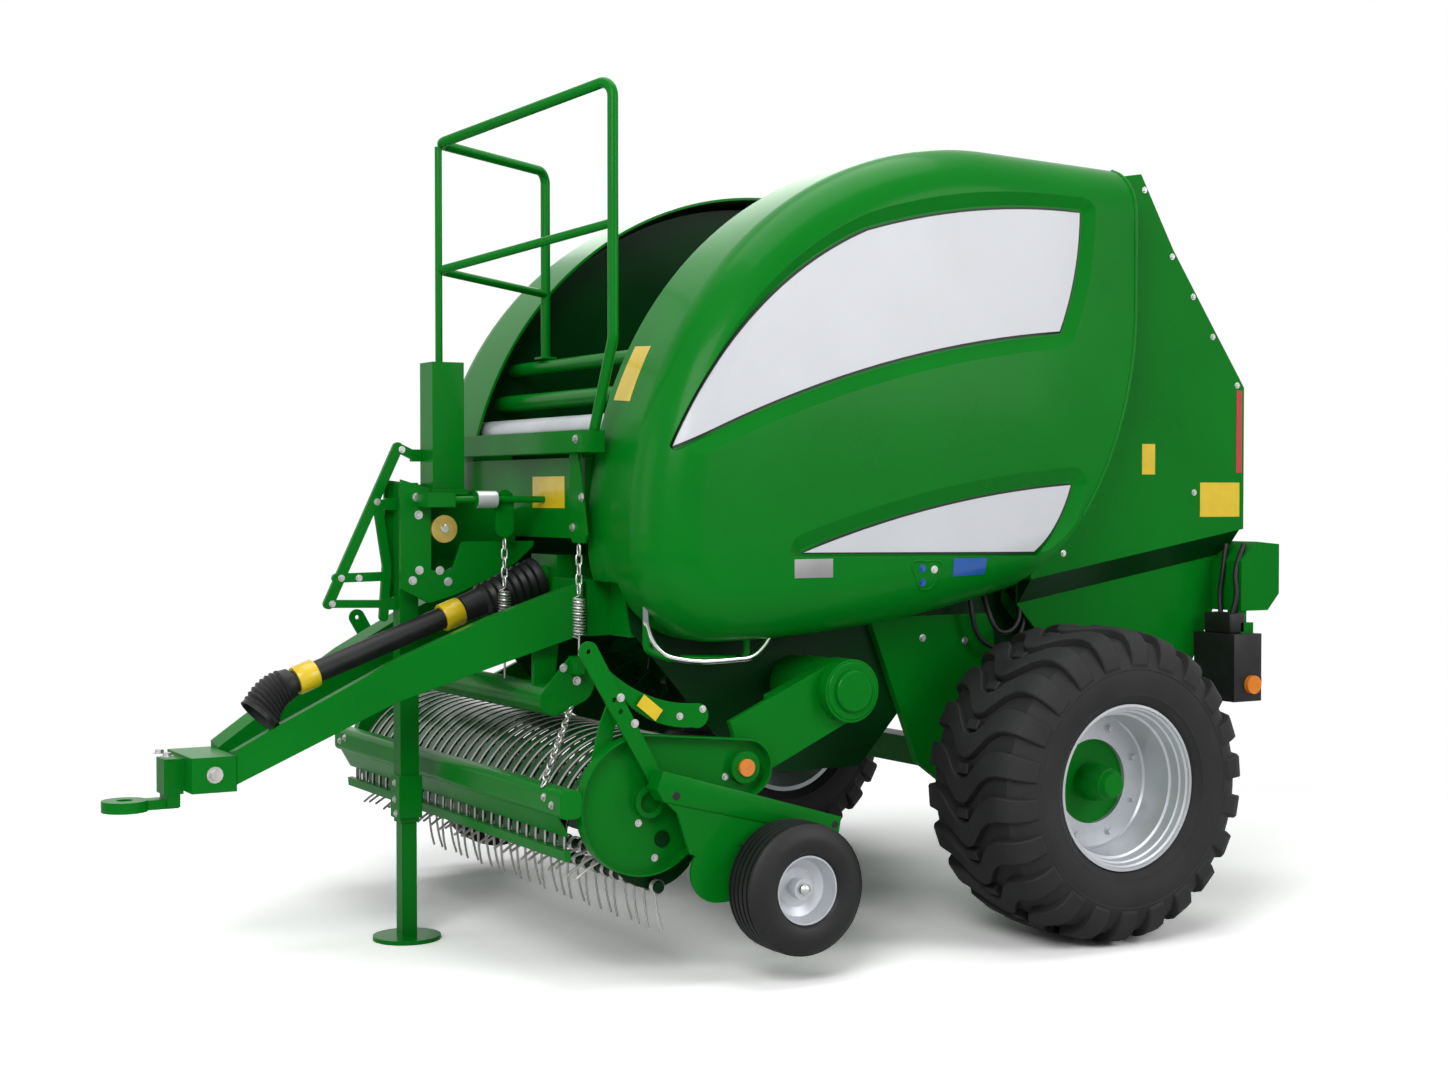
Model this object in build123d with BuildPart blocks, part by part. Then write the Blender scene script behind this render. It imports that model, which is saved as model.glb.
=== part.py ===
"""Fixed-chamber round baler, parked on its wheels and jack. Millimetres, +X forward, +Y left, +Z up."""
import os
from math import acos, atan2, cos, degrees, radians, sin, sqrt, tan
from build123d import *

os.makedirs("parts", exist_ok=True)

# ---- running gear ----
axle_height = 520
tyre_radius = 520
tyre_width = 500
bead_half = 200
wheel_mid_y = 1051
lug_height = 26
lug_count = 10
lug_length = 236
lug_width = 62
lug_lean = 38
lug_root = 14
rim_radius = 262
rim_width = 430
rim_wall = 8
disc_inset = 190
hub_bore = 90
hub_radius = 62
hub_flange_radius = 150
fit_gap = 0.3
axle_size = 100
axle_half = 700

# ---- bale chamber ----
chamber_x = 0
chamber_z = 1500
roller_circle = 735
roller_radius = 105
roller_step = 20
wall_in = 615
wall = 10
frame_wall_out = wall_in + wall
wall_door_gap = 25
roller_end_gap = 0.3

# ---- side doors ----
door_in = 500
door_out = 950
door_skin = 10
door_flange_in = 665
door_arc_x = 300
door_arc_z = 1350
door_arc_radius = 1270
door_toe_radius = 290
door_toe_z = 1300
door_belly_radius = 4600
door_edge_z = 2100
door_edge_radius = 1200
door_round = 170
door_rear_x = -300
door_top_drop = 20
door_top_z = door_arc_z + door_arc_radius - door_top_drop
door_hinge_y = 520
door_hinge_z = door_top_z - 25
door_pin = 8
door_knuckle = 14

# ---- tailgate ----
tail_hinge_x = -365
tail_hinge_z = 2545
tail_in = frame_wall_out + 5
tail_out = 795
tail_sheet = 8
tail_door_gap = 16
tail_low_out = 720
tail_rear_x = -950
tail_split_x = -250
hinge_radius = 22
ear_radius = 45

# ---- pickup ----
rotor_x = 877
rotor_z = 852
rotor_radius = 215
rotor_tube = 75
rotor_stars = 9
reel_x = 1540
reel_z = 435
tine_radius = 290
tine_pitch = 67
tine_count = 28
tine_size = 6
tine_bars = 5
bar_circle = 150
bar_radius = 17
reel_tube = 50
reel_stub = 25
band_gap = 8
band_thick = 4
band_slot = 18
plate_in = 932
plate_thick = 6
plate_rim = 42
disc_x = 1615
disc_z = 545
disc_radius = 212
knuckle_x = 1262
knuckle_z = 635
knuckle_radius = 88
boss_in = 866
arm_in = 904
arm_out = 926
arm_radius = 100
journal_radius = 70
shaft_radius = 40
pivot_radius = 95
cap_out = 971

# ---- gauge wheels ----
gauge_x = 1186
gauge_z = 288
gauge_y = 1131
gauge_radius = 202
gauge_width = 165
gauge_rim_radius = 104
gauge_pin = 14

# ---- drawbar ----
eye_x = 2910
eye_z = 515
eye_outer = 70
eye_bore = 50
eye_thick = 34
beam_width = 80
jack_x = 1980
jack_y = -30
jack_size = 64
jack_inner = 52
foot_radius = 112
foot_thick = 14
mast_x = 1870
mast_y = 20
mast_size = 110
mast_low = 1490
mast_top = 1905

front_x = 1560

rear_reach = -1055
front_reach = eye_x + eye_outer
to_origin = Location((-(front_reach + rear_reach) / 2, 0, 0))


def keep(piece, label):
    piece.part.label = label
    export_step(piece.part.moved(to_origin), f"parts/{label}.step")


def side_plane(y):
    """Upright plane seen from the left side: its x is forward and its y is up."""
    return Plane(origin=(0, y, 0), x_dir=(1, 0, 0), z_dir=(0, -1, 0))


def slab(points, y_low, y_high):
    """Plate whose outline is a polygon of (x, z) and which runs from y_low to y_high."""
    with BuildPart() as plate:
        with BuildSketch(side_plane(y_high)):
            Polygon(*points, align=None)
        extrude(amount=y_high - y_low)
    return plate


def mirrored(piece):
    with BuildPart() as other:
        mirror(piece.part, about=Plane.XZ)
    return other


def both_sides(piece):
    """The left-hand piece and its mirror image as separate solids of one node."""
    with BuildPart() as pair:
        add(piece.part)
        mirror(piece.part, about=Plane.XZ)
    return pair


def tangent_hull(circles):
    """Closed sketch round a row of circles (x, z, radius)."""
    with BuildSketch() as hull:
        for x, z, radius in circles:
            with Locations((x, z)):
                Circle(radius)
        make_hull()
    return hull


def axis_plane(x, y, z):
    """Plane whose normal is the axle line of a wheel."""
    return Plane(origin=(x, y, z), x_dir=(1, 0, 0), z_dir=(0, 1, 0))


def section_plane(x, y, z):
    """Plane through a wheel's axle: its x runs along the axle and its y is the radius."""
    return Plane(origin=(x, y, z), x_dir=(0, 1, 0), z_dir=(1, 0, 0))


# ---- main wheels ----
wheel_axis = Axis((0, wheel_mid_y, axle_height), (0, 1, 0))
half = tyre_width / 2
crown = tyre_radius - lug_height
bead_radius = rim_radius + fit_gap
flange_radius = rim_radius + 10
lug_reach = (lug_length * sin(radians(lug_lean)) + lug_width * cos(radians(lug_lean))) / 2
lug_rise = sqrt(tyre_radius ** 2 - lug_reach ** 2) - crown
with BuildPart(axis_plane(0, wheel_mid_y, axle_height)) as tyre:
    with BuildSketch(section_plane(0, wheel_mid_y, axle_height)):
        with BuildLine():
            Polyline((0, bead_radius), (bead_half, bead_radius), (bead_half, flange_radius + 4),
                     (half, rim_radius + 100), (half - 50, crown), (0, crown))
            mirror(about=Plane.YZ)
        make_face()
    revolve(axis=wheel_axis)
    for side, start in ((1, 0), (-1, 180 / lug_count)):
        with PolarLocations(crown, lug_count, start_angle=start):
            with Locations(Location((-lug_root, 0, side * lug_length / 2), (side * lug_lean, 0, 0))):
                Box(lug_root + lug_rise, lug_width, lug_length,
                    align=(Align.MIN, Align.CENTER, Align.CENTER))
keep(tyre, "tyre_left")
keep(mirrored(tyre), "tyre_right")

face = rim_width / 2
disc = face - disc_inset
well = rim_radius - rim_wall - 30
with BuildPart() as rim:
    with BuildSketch(section_plane(0, wheel_mid_y, axle_height)):
        with BuildLine():
            Polyline((-face, flange_radius), (-bead_half - fit_gap, flange_radius),
                     (-bead_half - fit_gap, rim_radius),
                     (bead_half + fit_gap, rim_radius), (bead_half + fit_gap, flange_radius),
                     (face, flange_radius),
                     (face, rim_radius - rim_wall), (disc + 60, well), (disc + rim_wall, well),
                     (disc + rim_wall, hub_radius + fit_gap), (disc - rim_wall, hub_radius + fit_gap),
                     (disc - rim_wall, well), (-face + 60, well), (-face, rim_radius - rim_wall),
                     (-face, flange_radius))
        make_face()
    revolve(axis=wheel_axis)
keep(rim, "rim_left")
keep(mirrored(rim), "rim_right")

disc_y = wheel_mid_y + disc
with BuildPart() as hub:
    with BuildSketch(section_plane(0, disc_y, axle_height)):
        with BuildLine():
            Polyline((-150, hub_bore / 2), (60, hub_bore / 2), (60, 0), (120, 0), (120, 38), (100, 46),
                     (100, 52),
                     (30, hub_radius), (-rim_wall, hub_radius), (-rim_wall, hub_flange_radius),
                     (-rim_wall - 18, hub_flange_radius), (-rim_wall - 18, 75), (-150, 75),
                     (-150, hub_bore / 2))
        make_face()
    revolve(axis=Axis((0, disc_y, axle_height), (0, 1, 0)))
keep(hub, "hub_left")
keep(mirrored(hub), "hub_right")

spindle_end = disc_y + 60 - fit_gap
with BuildPart() as axle:
    with Locations((0, 0, axle_height)):
        Box(axle_size, 2 * axle_half, axle_size)
    with BuildSketch(side_plane(spindle_end)):
        with Locations((0, axle_height)):
            Circle(hub_bore / 2 - fit_gap)
    extrude(amount=2 * spindle_end)
keep(axle, "axle")

# ---- chassis side walls ----
rear_line = tail_split_x + 15
wall_arc = door_arc_radius - door_skin - wall_door_gap
arc_end = 104
with BuildPart() as frame_wall:
    with BuildSketch(side_plane(frame_wall_out)):
        with BuildLine():
            rim_arc = CenterArc((door_arc_x, door_arc_z), wall_arc, 0, arc_end)
            Polyline(rim_arc @ 1, (rear_line, 2520), (rear_line, 800), (400, 800), (620, 560), (930, 560),
                     (1180, 700), (1480, 1040), rim_arc @ 0)
        make_face()
        ear = [(tail_hinge_x, tail_hinge_z, ear_radius), (rear_line + 40, tail_hinge_z - 30, ear_radius)]
        add(tangent_hull(ear).sketch)
        with Locations((tail_hinge_x, tail_hinge_z)):
            Circle(hinge_radius, mode=Mode.SUBTRACT)
        with Locations((rotor_x, rotor_z)):
            Circle(journal_radius, mode=Mode.SUBTRACT)
        with Locations((0, axle_height + 300)):
            Rectangle(2 * rear_line, 60, mode=Mode.SUBTRACT)
    extrude(amount=wall)
keep(both_sides(frame_wall), "frame_walls")

plate_half = axle_size / 2
axle_plate = slab([(600, 1060), (90, 1060), (plate_half + 30, 980), (plate_half + 30, 440), (180, 400),
                   (400, 560)],
                  frame_wall_out, 655)
with BuildPart() as axle_bracket:
    add(axle_plate.part)
    with Locations((0, (frame_wall_out + 655) / 2, axle_height)):
        Box(2 * plate_half + 60, 30, 2 * plate_half + 60)
        Box(axle_size, 30, axle_size, mode=Mode.SUBTRACT)
keep(both_sides(axle_bracket), "axle_plates")


# ---- rollers round the bale chamber ----
def roller_ring(angles, end_y):
    with BuildPart() as rollers:
        with BuildSketch(side_plane(end_y)):
            for angle in angles:
                along = radians(angle)
                with Locations((chamber_x + roller_circle * cos(along),
                                chamber_z + roller_circle * sin(along))):
                    Circle(roller_radius)
        extrude(amount=2 * end_y)
    return rollers


front_angles = [*range(-100, -59, roller_step), *range(-20, 101, roller_step)]
keep(roller_ring(front_angles, wall_in - roller_end_gap), "chamber_rollers")
keep(roller_ring(range(120, 241, roller_step), tail_in - roller_end_gap), "tail_rollers")


# ---- side doors ----
def door_face(inset):
    """Side face of the door before its rear edge is trimmed, moved inward by inset."""
    big = door_arc_radius - inset
    toe = door_toe_radius - inset
    belly = door_belly_radius - inset
    toe_x = door_arc_x + door_arc_radius - door_toe_radius
    belly_z = door_toe_z - door_toe_radius + door_belly_radius
    span = Vector(door_rear_x - door_arc_x, door_top_z - door_arc_z)
    crest = atan2(span.Y, span.X) - acos(door_arc_radius / span.length)
    slope = Vector(-sin(crest), cos(crest))
    overrun = 400
    sweep_back = degrees((toe_x - door_rear_x + 100) / door_belly_radius)
    with BuildSketch() as face:
        with BuildLine():
            arc = CenterArc((door_arc_x, door_arc_z), big, 0, degrees(crest))
            Line((door_arc_x + big, door_toe_z), arc @ 0)
            CenterArc((toe_x, door_toe_z), toe, -90, 90)
            under = CenterArc((toe_x, belly_z), belly, -90, -sweep_back)
            top_end = arc @ 1 + slope * (span.length + overrun) / 2
            Polyline(arc @ 1, top_end, ((under @ 1).X, top_end.Y), under @ 1)
        make_face()
    return face


def door_trim(inset):
    """Region ahead of the door's rear edge."""
    edge_x = door_rear_x + inset
    with BuildSketch() as region:
        with BuildLine():
            drop = CenterArc((edge_x + door_edge_radius, door_edge_z), door_edge_radius, 180, 62)
            Polyline(drop @ 0, (edge_x, door_top_z + 100), (1700, door_top_z + 100), (1700, 900),
                     ((drop @ 1).X, 900),
                     drop @ 1)
        make_face()
    return region


def hinge_tube(radius, x_low, x_high):
    """Round bar along the left door's hinge line."""
    with BuildPart() as tube:
        with BuildSketch(Plane.YZ.offset(x_low)):
            with Locations((door_hinge_y, door_hinge_z)):
                Circle(radius)
        extrude(amount=x_high - x_low)
    return tube


def door_block(inset, y_low, y_high, rounding):
    with BuildPart() as block:
        with BuildSketch(side_plane(y_high)):
            add(door_face(inset).sketch)
        extrude(amount=y_high - y_low)
        outer = block.faces().sort_by(Axis.Y)[-1].edges()
        fillet(outer.filter_by(lambda edge: edge.center().X > door_rear_x), rounding)
        with BuildSketch(side_plane(y_high)):
            add(door_trim(inset).sketch)
        extrude(amount=y_high - y_low, mode=Mode.INTERSECT)
    return block


def layer(depth):
    """What is left of the door's block under a skin of this depth."""
    return door_block(depth, door_in - 10, door_out - depth, door_round - depth).part


def panel_prism(spans, grow, depth=220, lean=0):
    """Prism into the door's side: spans are (start, middle, end) arcs or (start, end) lines."""
    with BuildPart() as prism:
        with BuildSketch(side_plane(door_out + 2)):
            with BuildLine():
                for span in spans:
                    if len(span) == 3:
                        ThreePointArc(*span)
                    else:
                        Line(*span)
            make_face()
            if grow:
                offset(amount=grow, kind=Kind.ARC)
        extrude(amount=depth, taper=lean)
    return prism.part


low_edge_z = 1280
# pale panels in pockets of the door's side: start, middle and end of each edge as (x, z)
high_panel = (((1477, 1619), (1234, 2002), (795, 2308)), ((795, 2308), (375, 2398), (-61, 2420)),
              ((-61, 2420), (-38, 2210), (23, 2019)), ((23, 2019), (869, 1854), (1477, 1619)))
low_panel = (((1035, 1290), (560, 1421), (-27, 1503)), ((-27, 1503), (35, 1375), (120, low_edge_z)),
             ((120, low_edge_z), (1035, 1290)))
pocket_depth = 20
pocket_gap = 14
pocket_slope = 50
slope_lean = degrees(atan2(pocket_slope, pocket_depth + 2))
panel_thick = 6
pocket_floor = layer(pocket_depth)
pocket_back = layer(pocket_depth + door_skin)
panel_face = layer(pocket_depth - panel_thick)

door_solid = door_block(0, door_in, door_out, door_round)
door_space = door_block(door_skin, door_in - 10, door_out - door_skin, door_round - door_skin)
tail_edge = tail_out + tail_door_gap
handle_y = 760
knuckle_starts = (-60, 120)
knuckle_length = 40
lug_starts = (-18, 78)
with BuildPart() as door:
    add(door_solid.part)
    add(door_space.part, mode=Mode.SUBTRACT)
    for spans in (high_panel, low_panel):
        add(panel_prism(spans, pocket_gap + pocket_slope) & (door_space.part - pocket_back))
        slope = panel_prism(spans, pocket_gap + pocket_slope, pocket_depth + 2, slope_lean)
        if spans is low_panel:
            slope = slope.split(Plane.XY.offset(low_edge_z), keep=Keep.TOP)
        add(slope - pocket_floor, mode=Mode.SUBTRACT)
        add(panel_prism(spans, pocket_gap) - pocket_floor, mode=Mode.SUBTRACT)
    with Locations((600, (door_in + door_flange_in) / 2 - 5, 1050)):
        Box(1900, door_flange_in - door_in + 10, 440, mode=Mode.SUBTRACT)
    with Locations((-115, (door_in + tail_edge) / 2 - 5, 1845)):
        Box(400, tail_edge - door_in + 10, 1490, mode=Mode.SUBTRACT)
    with BuildLine() as grip:
        FilletPolyline((1140, handle_y, 1030), (1140, handle_y, 950), (1420, handle_y, 962),
                       (1500, handle_y, 990),
                       (1500, handle_y, 1128), radius=28)
    with BuildSketch(Plane(origin=grip.line @ 0, z_dir=grip.line % 0)):
        Circle(11)
    sweep(path=grip.line)
    for start in knuckle_starts:
        with Locations((start + knuckle_length / 2, door_hinge_y, door_hinge_z + 16)):
            Box(knuckle_length, 2 * door_knuckle, 32)
        add(hinge_tube(door_knuckle, start, start + knuckle_length).part)
    add(hinge_tube(door_pin + fit_gap, knuckle_starts[0], knuckle_starts[1] + knuckle_length).part,
        mode=Mode.SUBTRACT)
keep(door, "door_left")
keep(mirrored(door), "door_right")

with BuildPart() as panels:
    for spans in (high_panel, low_panel):
        add(panel_prism(spans, 0) & (panel_face - pocket_floor))
keep(panels, "door_panels_left")
keep(mirrored(panels), "door_panels_right")

with BuildPart() as door_hinge:
    add(hinge_tube(door_pin, knuckle_starts[0] - 6, knuckle_starts[1] + knuckle_length + 6).part)
    for start in lug_starts:
        with BuildSketch(Plane.YZ.offset(start)):
            with Locations((door_hinge_y, door_hinge_z)):
                Circle(door_knuckle)
            Polygon((door_hinge_y - door_knuckle, door_hinge_z), (door_hinge_y + 4, door_hinge_z - 30),
                    (wall_in, door_hinge_z - 75), (wall_in, door_hinge_z - 30),
                    (door_hinge_y + door_knuckle, door_hinge_z),
                    align=None)
        extrude(amount=knuckle_length)
keep(both_sides(door_hinge), "door_hinges")

# ---- tailgate ----
tail_high = [(-335, 2580), (-455, 2600), (-605, 2344), (-800, 2070), (-925, 1896), (tail_rear_x, 1860),
             (tail_rear_x, 1345), (30, 1180), (30, 1330), (-110, 1640), (tail_split_x, 1900),
             (tail_split_x, 2300)]
tail_low = [(tail_rear_x, 1345), (30, 1180), (30, 1090), (-150, 900), (-260, 720), (-520, 700), (-760, 840),
            (-900, 1100)]
with BuildPart() as tail_side:
    for outline, reach in ((tail_high, tail_out), (tail_low, tail_low_out)):
        with BuildSketch(side_plane(reach)):
            Polygon(*outline, align=None)
        extrude(amount=reach - tail_in)
    for outline, reach in ((tail_high, tail_out), (tail_low, tail_low_out)):
        with BuildSketch(mode=Mode.PRIVATE) as hollow:
            Polygon(*outline, align=None)
            offset(amount=-tail_sheet, kind=Kind.INTERSECTION, mode=Mode.REPLACE)
        with BuildSketch(side_plane(reach - tail_sheet)):
            with Locations((0, 0), (60, 0)):
                add(hollow.sketch)
        extrude(amount=reach - tail_sheet - tail_in - wall, mode=Mode.SUBTRACT)
    with BuildSketch(side_plane(tail_in + wall)):
        with Locations((tail_hinge_x, tail_hinge_z)):
            Circle(hinge_radius + fit_gap)
    extrude(amount=wall, mode=Mode.SUBTRACT)
keep(both_sides(tail_side), "tailgate_sides")

tail_skin_shape = [(-435, 2597), (-455, 2600), (-605, 2344), (-800, 2070), (-925, 1896),
                   (tail_rear_x, 1860),
                   (tail_rear_x, 1345), (-900, 1100), (-760, 840), (-520, 700), (-520, 712), (-753, 850),
                   (-890, 1105),
                   (tail_rear_x + 10, 1347), (tail_rear_x + 10, 1860), (-916, 1900), (-792, 2076),
                   (-597, 2350),
                   (-447, 2588), (-435, 2586)]
keep(slab(tail_skin_shape, -tail_in, tail_in), "tailgate_skin")

# brackets, lamp boxes and lamps at the tailgate's lower rear corners
bracket_in = tail_low_out
bracket_shape = [(-870, 1050), (-870, 1230), (-945, 1300), (rear_reach, 1290), (rear_reach, 1110),
                 (-1000, 1050)]
with BuildPart() as tail_bracket:
    add(slab(bracket_shape, bracket_in, 870).part)
    add(slab([(-870, 1060), (-905, 1060), (-905, 970), (-870, 970)], 800, 860).part)
    with Locations((-845, (725 + 930) / 2, 850)):
        Box(130, 205, 240)
    with Locations((-870, 860, 990)):
        Box(60, 80, 40)
keep(both_sides(tail_bracket), "tail_brackets")

with BuildPart() as tail_lamp:
    with BuildSketch(Plane(origin=(-910, 860, 800), z_dir=(-1, 0, 0))):
        Circle(45)
    extrude(amount=28)
    with BuildSketch(side_plane(950)):
        with Locations((-860, 790)):
            Circle(33)
    extrude(amount=20)
keep(both_sides(tail_lamp), "tail_lamps")

# ---- feed rotor ----
with BuildPart(axis_plane(rotor_x, 0, rotor_z)) as rotor:
    Cylinder(rotor_tube, 2 * (wall_in - 15))
    Cylinder(shaft_radius, 2 * (boss_in - 6))
    for star in range(rotor_stars):
        with Locations(Location((0, 0, (star - (rotor_stars - 1) / 2) * 125), star * 20)):
            Box(2 * rotor_radius, 60, 10)
            Box(60, 2 * rotor_radius, 10)
keep(rotor, "feed_rotor")

# ---- pickup ----
with BuildPart(axis_plane(reel_x, 0, reel_z)) as reel:
    Cylinder(reel_tube, 2 * (plate_in - 8))
    Cylinder(reel_stub, 2 * (plate_in + plate_thick + 4))
    with BuildSketch(Plane(origin=(reel_x, 12 - plate_in, reel_z), x_dir=(1, 0, 0), z_dir=(0, 1, 0))):
        with PolarLocations(bar_circle, tine_bars, start_angle=90):
            RegularPolygon(bar_radius, 6, rotation=30)
    extrude(amount=2 * (plate_in - 12))
    with Locations((0, 0, -880), (0, 0, 0), (0, 0, 880)):
        Cylinder(bar_circle + 8, 8)
    stations = [(tine - (tine_count - 1) / 2) * tine_pitch for tine in range(tine_count)]
    with PolarLocations(0, tine_bars, start_angle=90):
        with Locations(*[((bar_circle + tine_radius) / 2, 0, station) for station in stations]):
            Box(tine_radius - bar_circle, tine_size, tine_size)
keep(reel, "pickup_reel")

band_inner = tine_radius + band_gap
band_outer = band_inner + band_thick
band_start = -32
band_end = 103
run = 290
end_angle = radians(band_end)
tail = (-sin(end_angle) * run, cos(end_angle) * run)
with BuildPart() as bands:
    with BuildSketch(*[side_plane(station - band_slot / 2) for station in stations[1:]]):
        with BuildLine():
            inner = CenterArc((reel_x, reel_z), band_inner, band_start, band_end - band_start)
            outer = CenterArc((reel_x, reel_z), band_outer, band_start, band_end - band_start)
            Line(inner @ 0, outer @ 0)
            Polyline(inner @ 1, inner @ 1 + tail, outer @ 1 + tail, outer @ 1)
        make_face()
    extrude(amount=tine_pitch - band_slot)
keep(bands, "pickup_bands")

guard_x = 1860
guard_z = 565
beam_y = plate_in - fit_gap
with BuildPart() as guard_beam:
    with BuildSketch(side_plane(beam_y)):
        with Locations((guard_x, guard_z)):
            RectangleRounded(70, 84, 20)
    extrude(amount=2 * beam_y)
    with BuildSketch(side_plane(plate_in + plate_rim)):
        with Locations((guard_x, guard_z)):
            RectangleRounded(70, 84, 20)
        add(tangent_hull([(disc_x, disc_z, disc_radius + fit_gap)]).sketch, mode=Mode.SUBTRACT)
    extrude(amount=plate_rim + fit_gap)
    mirror(about=Plane.XZ)
keep(guard_beam, "pickup_guard_beam")

rail_size = 60
rail_x = reel_x + band_inner * cos(end_angle) + tail[0]
rail_z = reel_z + band_inner * sin(end_angle) + tail[1] - fit_gap - rail_size / 2
low_angle = radians(band_start)
low_circle = band_outer + fit_gap + 9
with BuildPart() as rails:
    with BuildSketch(side_plane(beam_y)):
        low_end = (reel_x + low_circle * cos(low_angle), reel_z + low_circle * sin(low_angle))
        with Locations(Location(low_end, band_start)):
            Rectangle(18, 30)
    extrude(amount=2 * beam_y)
    with BuildSketch(side_plane(arm_in)):
        with Locations((rail_x, rail_z)):
            Rectangle(rail_size, rail_size)
    extrude(amount=2 * arm_in)
keep(rails, "pickup_rails")

knuckle_ring = 50
pivot_ring = 48
reflector_in = plate_in + plate_rim - 10
horn_shape = [(1713, 867), (1661, 849), (1700, 770), (1706, 690), (1770, 690), (1745, 790)]
plate_round = [(disc_x, disc_z, disc_radius), (knuckle_x, knuckle_z, knuckle_radius)]
inside_round = [(x, z, radius - 5) for x, z, radius in plate_round]
with BuildPart() as plate:
    with BuildSketch(side_plane(plate_in + plate_thick)):
        add(tangent_hull(plate_round).sketch)
        with Locations((reel_x, reel_z)):
            Circle(reel_stub + fit_gap, mode=Mode.SUBTRACT)
    extrude(amount=plate_thick)
    with BuildSketch(side_plane(plate_in + plate_rim)):
        add(tangent_hull(plate_round).sketch)
        add(tangent_hull(inside_round).sketch, mode=Mode.SUBTRACT)
    extrude(amount=plate_rim - plate_thick)
    with BuildSketch(side_plane(reflector_in)):
        with Locations((knuckle_x, knuckle_z)):
            Circle(knuckle_ring)
    extrude(amount=reflector_in - plate_in - plate_thick)
    with BuildSketch(side_plane(plate_in + 30)):
        with Locations((1592, 552)):
            Circle(pivot_ring)
            Circle(pivot_ring - 16, mode=Mode.SUBTRACT)
    extrude(amount=30 - plate_thick)
    add(slab(horn_shape, plate_in - 8, plate_in).part)
keep(both_sides(plate), "pickup_plates")

with BuildPart() as reflector:
    with BuildSketch(side_plane(plate_in + plate_rim)):
        with Locations((knuckle_x, knuckle_z)):
            Circle(27)
    extrude(amount=plate_in + plate_rim - reflector_in)
keep(both_sides(reflector), "side_reflectors")

# the arm's outline ahead of its round end, with the notch where it passes behind the side plate
arm_shape = [(918, 943), (1296, 774), (1283, 736), (1262, 600), (1190, 600), (836, 761)]
thick_shape = [(918, 943), (1140, 844), (1140, 631), (836, 761)]
with BuildPart() as arm:
    for outline, high, low in ((arm_shape, arm_out, arm_in), (thick_shape, arm_in, boss_in)):
        with BuildSketch(side_plane(high)):
            Polygon(*outline, align=None)
            with Locations((rotor_x, rotor_z)):
                Circle(arm_radius)
        extrude(amount=high - low)
    with BuildSketch(side_plane(plate_in)):
        with Locations((knuckle_x, knuckle_z)):
            Circle(60)
    extrude(amount=plate_in - arm_out)
    with BuildSketch(side_plane(arm_out)):
        with Locations((rotor_x, rotor_z)):
            Circle(journal_radius + fit_gap)
    extrude(amount=arm_out - boss_in, mode=Mode.SUBTRACT)
keep(both_sides(arm), "pickup_arms")

with BuildPart() as pivot:
    with BuildSketch(axis_plane(rotor_x, frame_wall_out, rotor_z)):
        Circle(pivot_radius)
    extrude(amount=boss_in - fit_gap - frame_wall_out)
    with BuildSketch(axis_plane(rotor_x, boss_in - fit_gap, rotor_z)):
        Circle(journal_radius)
    extrude(amount=arm_out + 2 * fit_gap - boss_in)
    with BuildSketch(axis_plane(rotor_x, arm_out + fit_gap, rotor_z)):
        Circle(arm_radius)
    extrude(amount=cap_out - arm_out - fit_gap)
    with BuildSketch(axis_plane(rotor_x, frame_wall_out, rotor_z)):
        Circle(shaft_radius + fit_gap)
    extrude(amount=boss_in - frame_wall_out, mode=Mode.SUBTRACT)
keep(both_sides(pivot), "pickup_pivots")

# ---- gauge wheels ----
gauge_reach = gauge_width / 2
gauge_arm_in = plate_in + plate_rim
gauge_arm_out = gauge_y - gauge_reach - 10
gusset_shape = [(1590, 570), (1542, 526), (1500, 400), (1460, 385), (1389, 416), (1300, 412), (1182, 430),
                (1150, 470)]
strap_thick = 10
with BuildPart() as gauge_arm:
    with BuildSketch(side_plane(gauge_arm_out)):
        Polygon((1590, 655), (1612, 600), (1590, 562), (975, 407), (963, 471), align=None)
        with Locations((1548, 578), (988, 449)):
            Circle(12, mode=Mode.SUBTRACT)
    extrude(amount=gauge_arm_out - gauge_arm_in)
    with BuildSketch(side_plane(gauge_arm_out)):
        Polygon(*gusset_shape, align=None)
        add(tangent_hull([(1400, 340, 95), (gauge_x, gauge_z, 45)]).sketch)
    extrude(amount=12)
    # height strap with its row of holes, and the curved link behind it
    with BuildSketch(side_plane(gauge_arm_in + strap_thick)):
        add(tangent_hull([(1806, 1012, 30), (1580, 618, 24)]).sketch)
        with Locations((1806, 1012), (1722, 866), (1702, 831)):
            Circle(8, mode=Mode.SUBTRACT)
    extrude(amount=strap_thick)
    with BuildSketch(side_plane(gauge_arm_in)):
        with BuildLine():
            ThreePointArc((1745, 962), (1590, 868), (1436, 842))
            ThreePointArc((1436, 842), (1400, 808), (1453, 770))
            ThreePointArc((1453, 770), (1590, 798), (1700, 880))
            Line((1700, 880), (1745, 962))
        make_face()
    extrude(amount=strap_thick)
    with BuildSketch(side_plane(gauge_y + 30)):
        with Locations((gauge_x, gauge_z)):
            Circle(gauge_pin)
    extrude(amount=gauge_y + 30 - gauge_arm_out)
keep(both_sides(gauge_arm), "gauge_arms")

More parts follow.
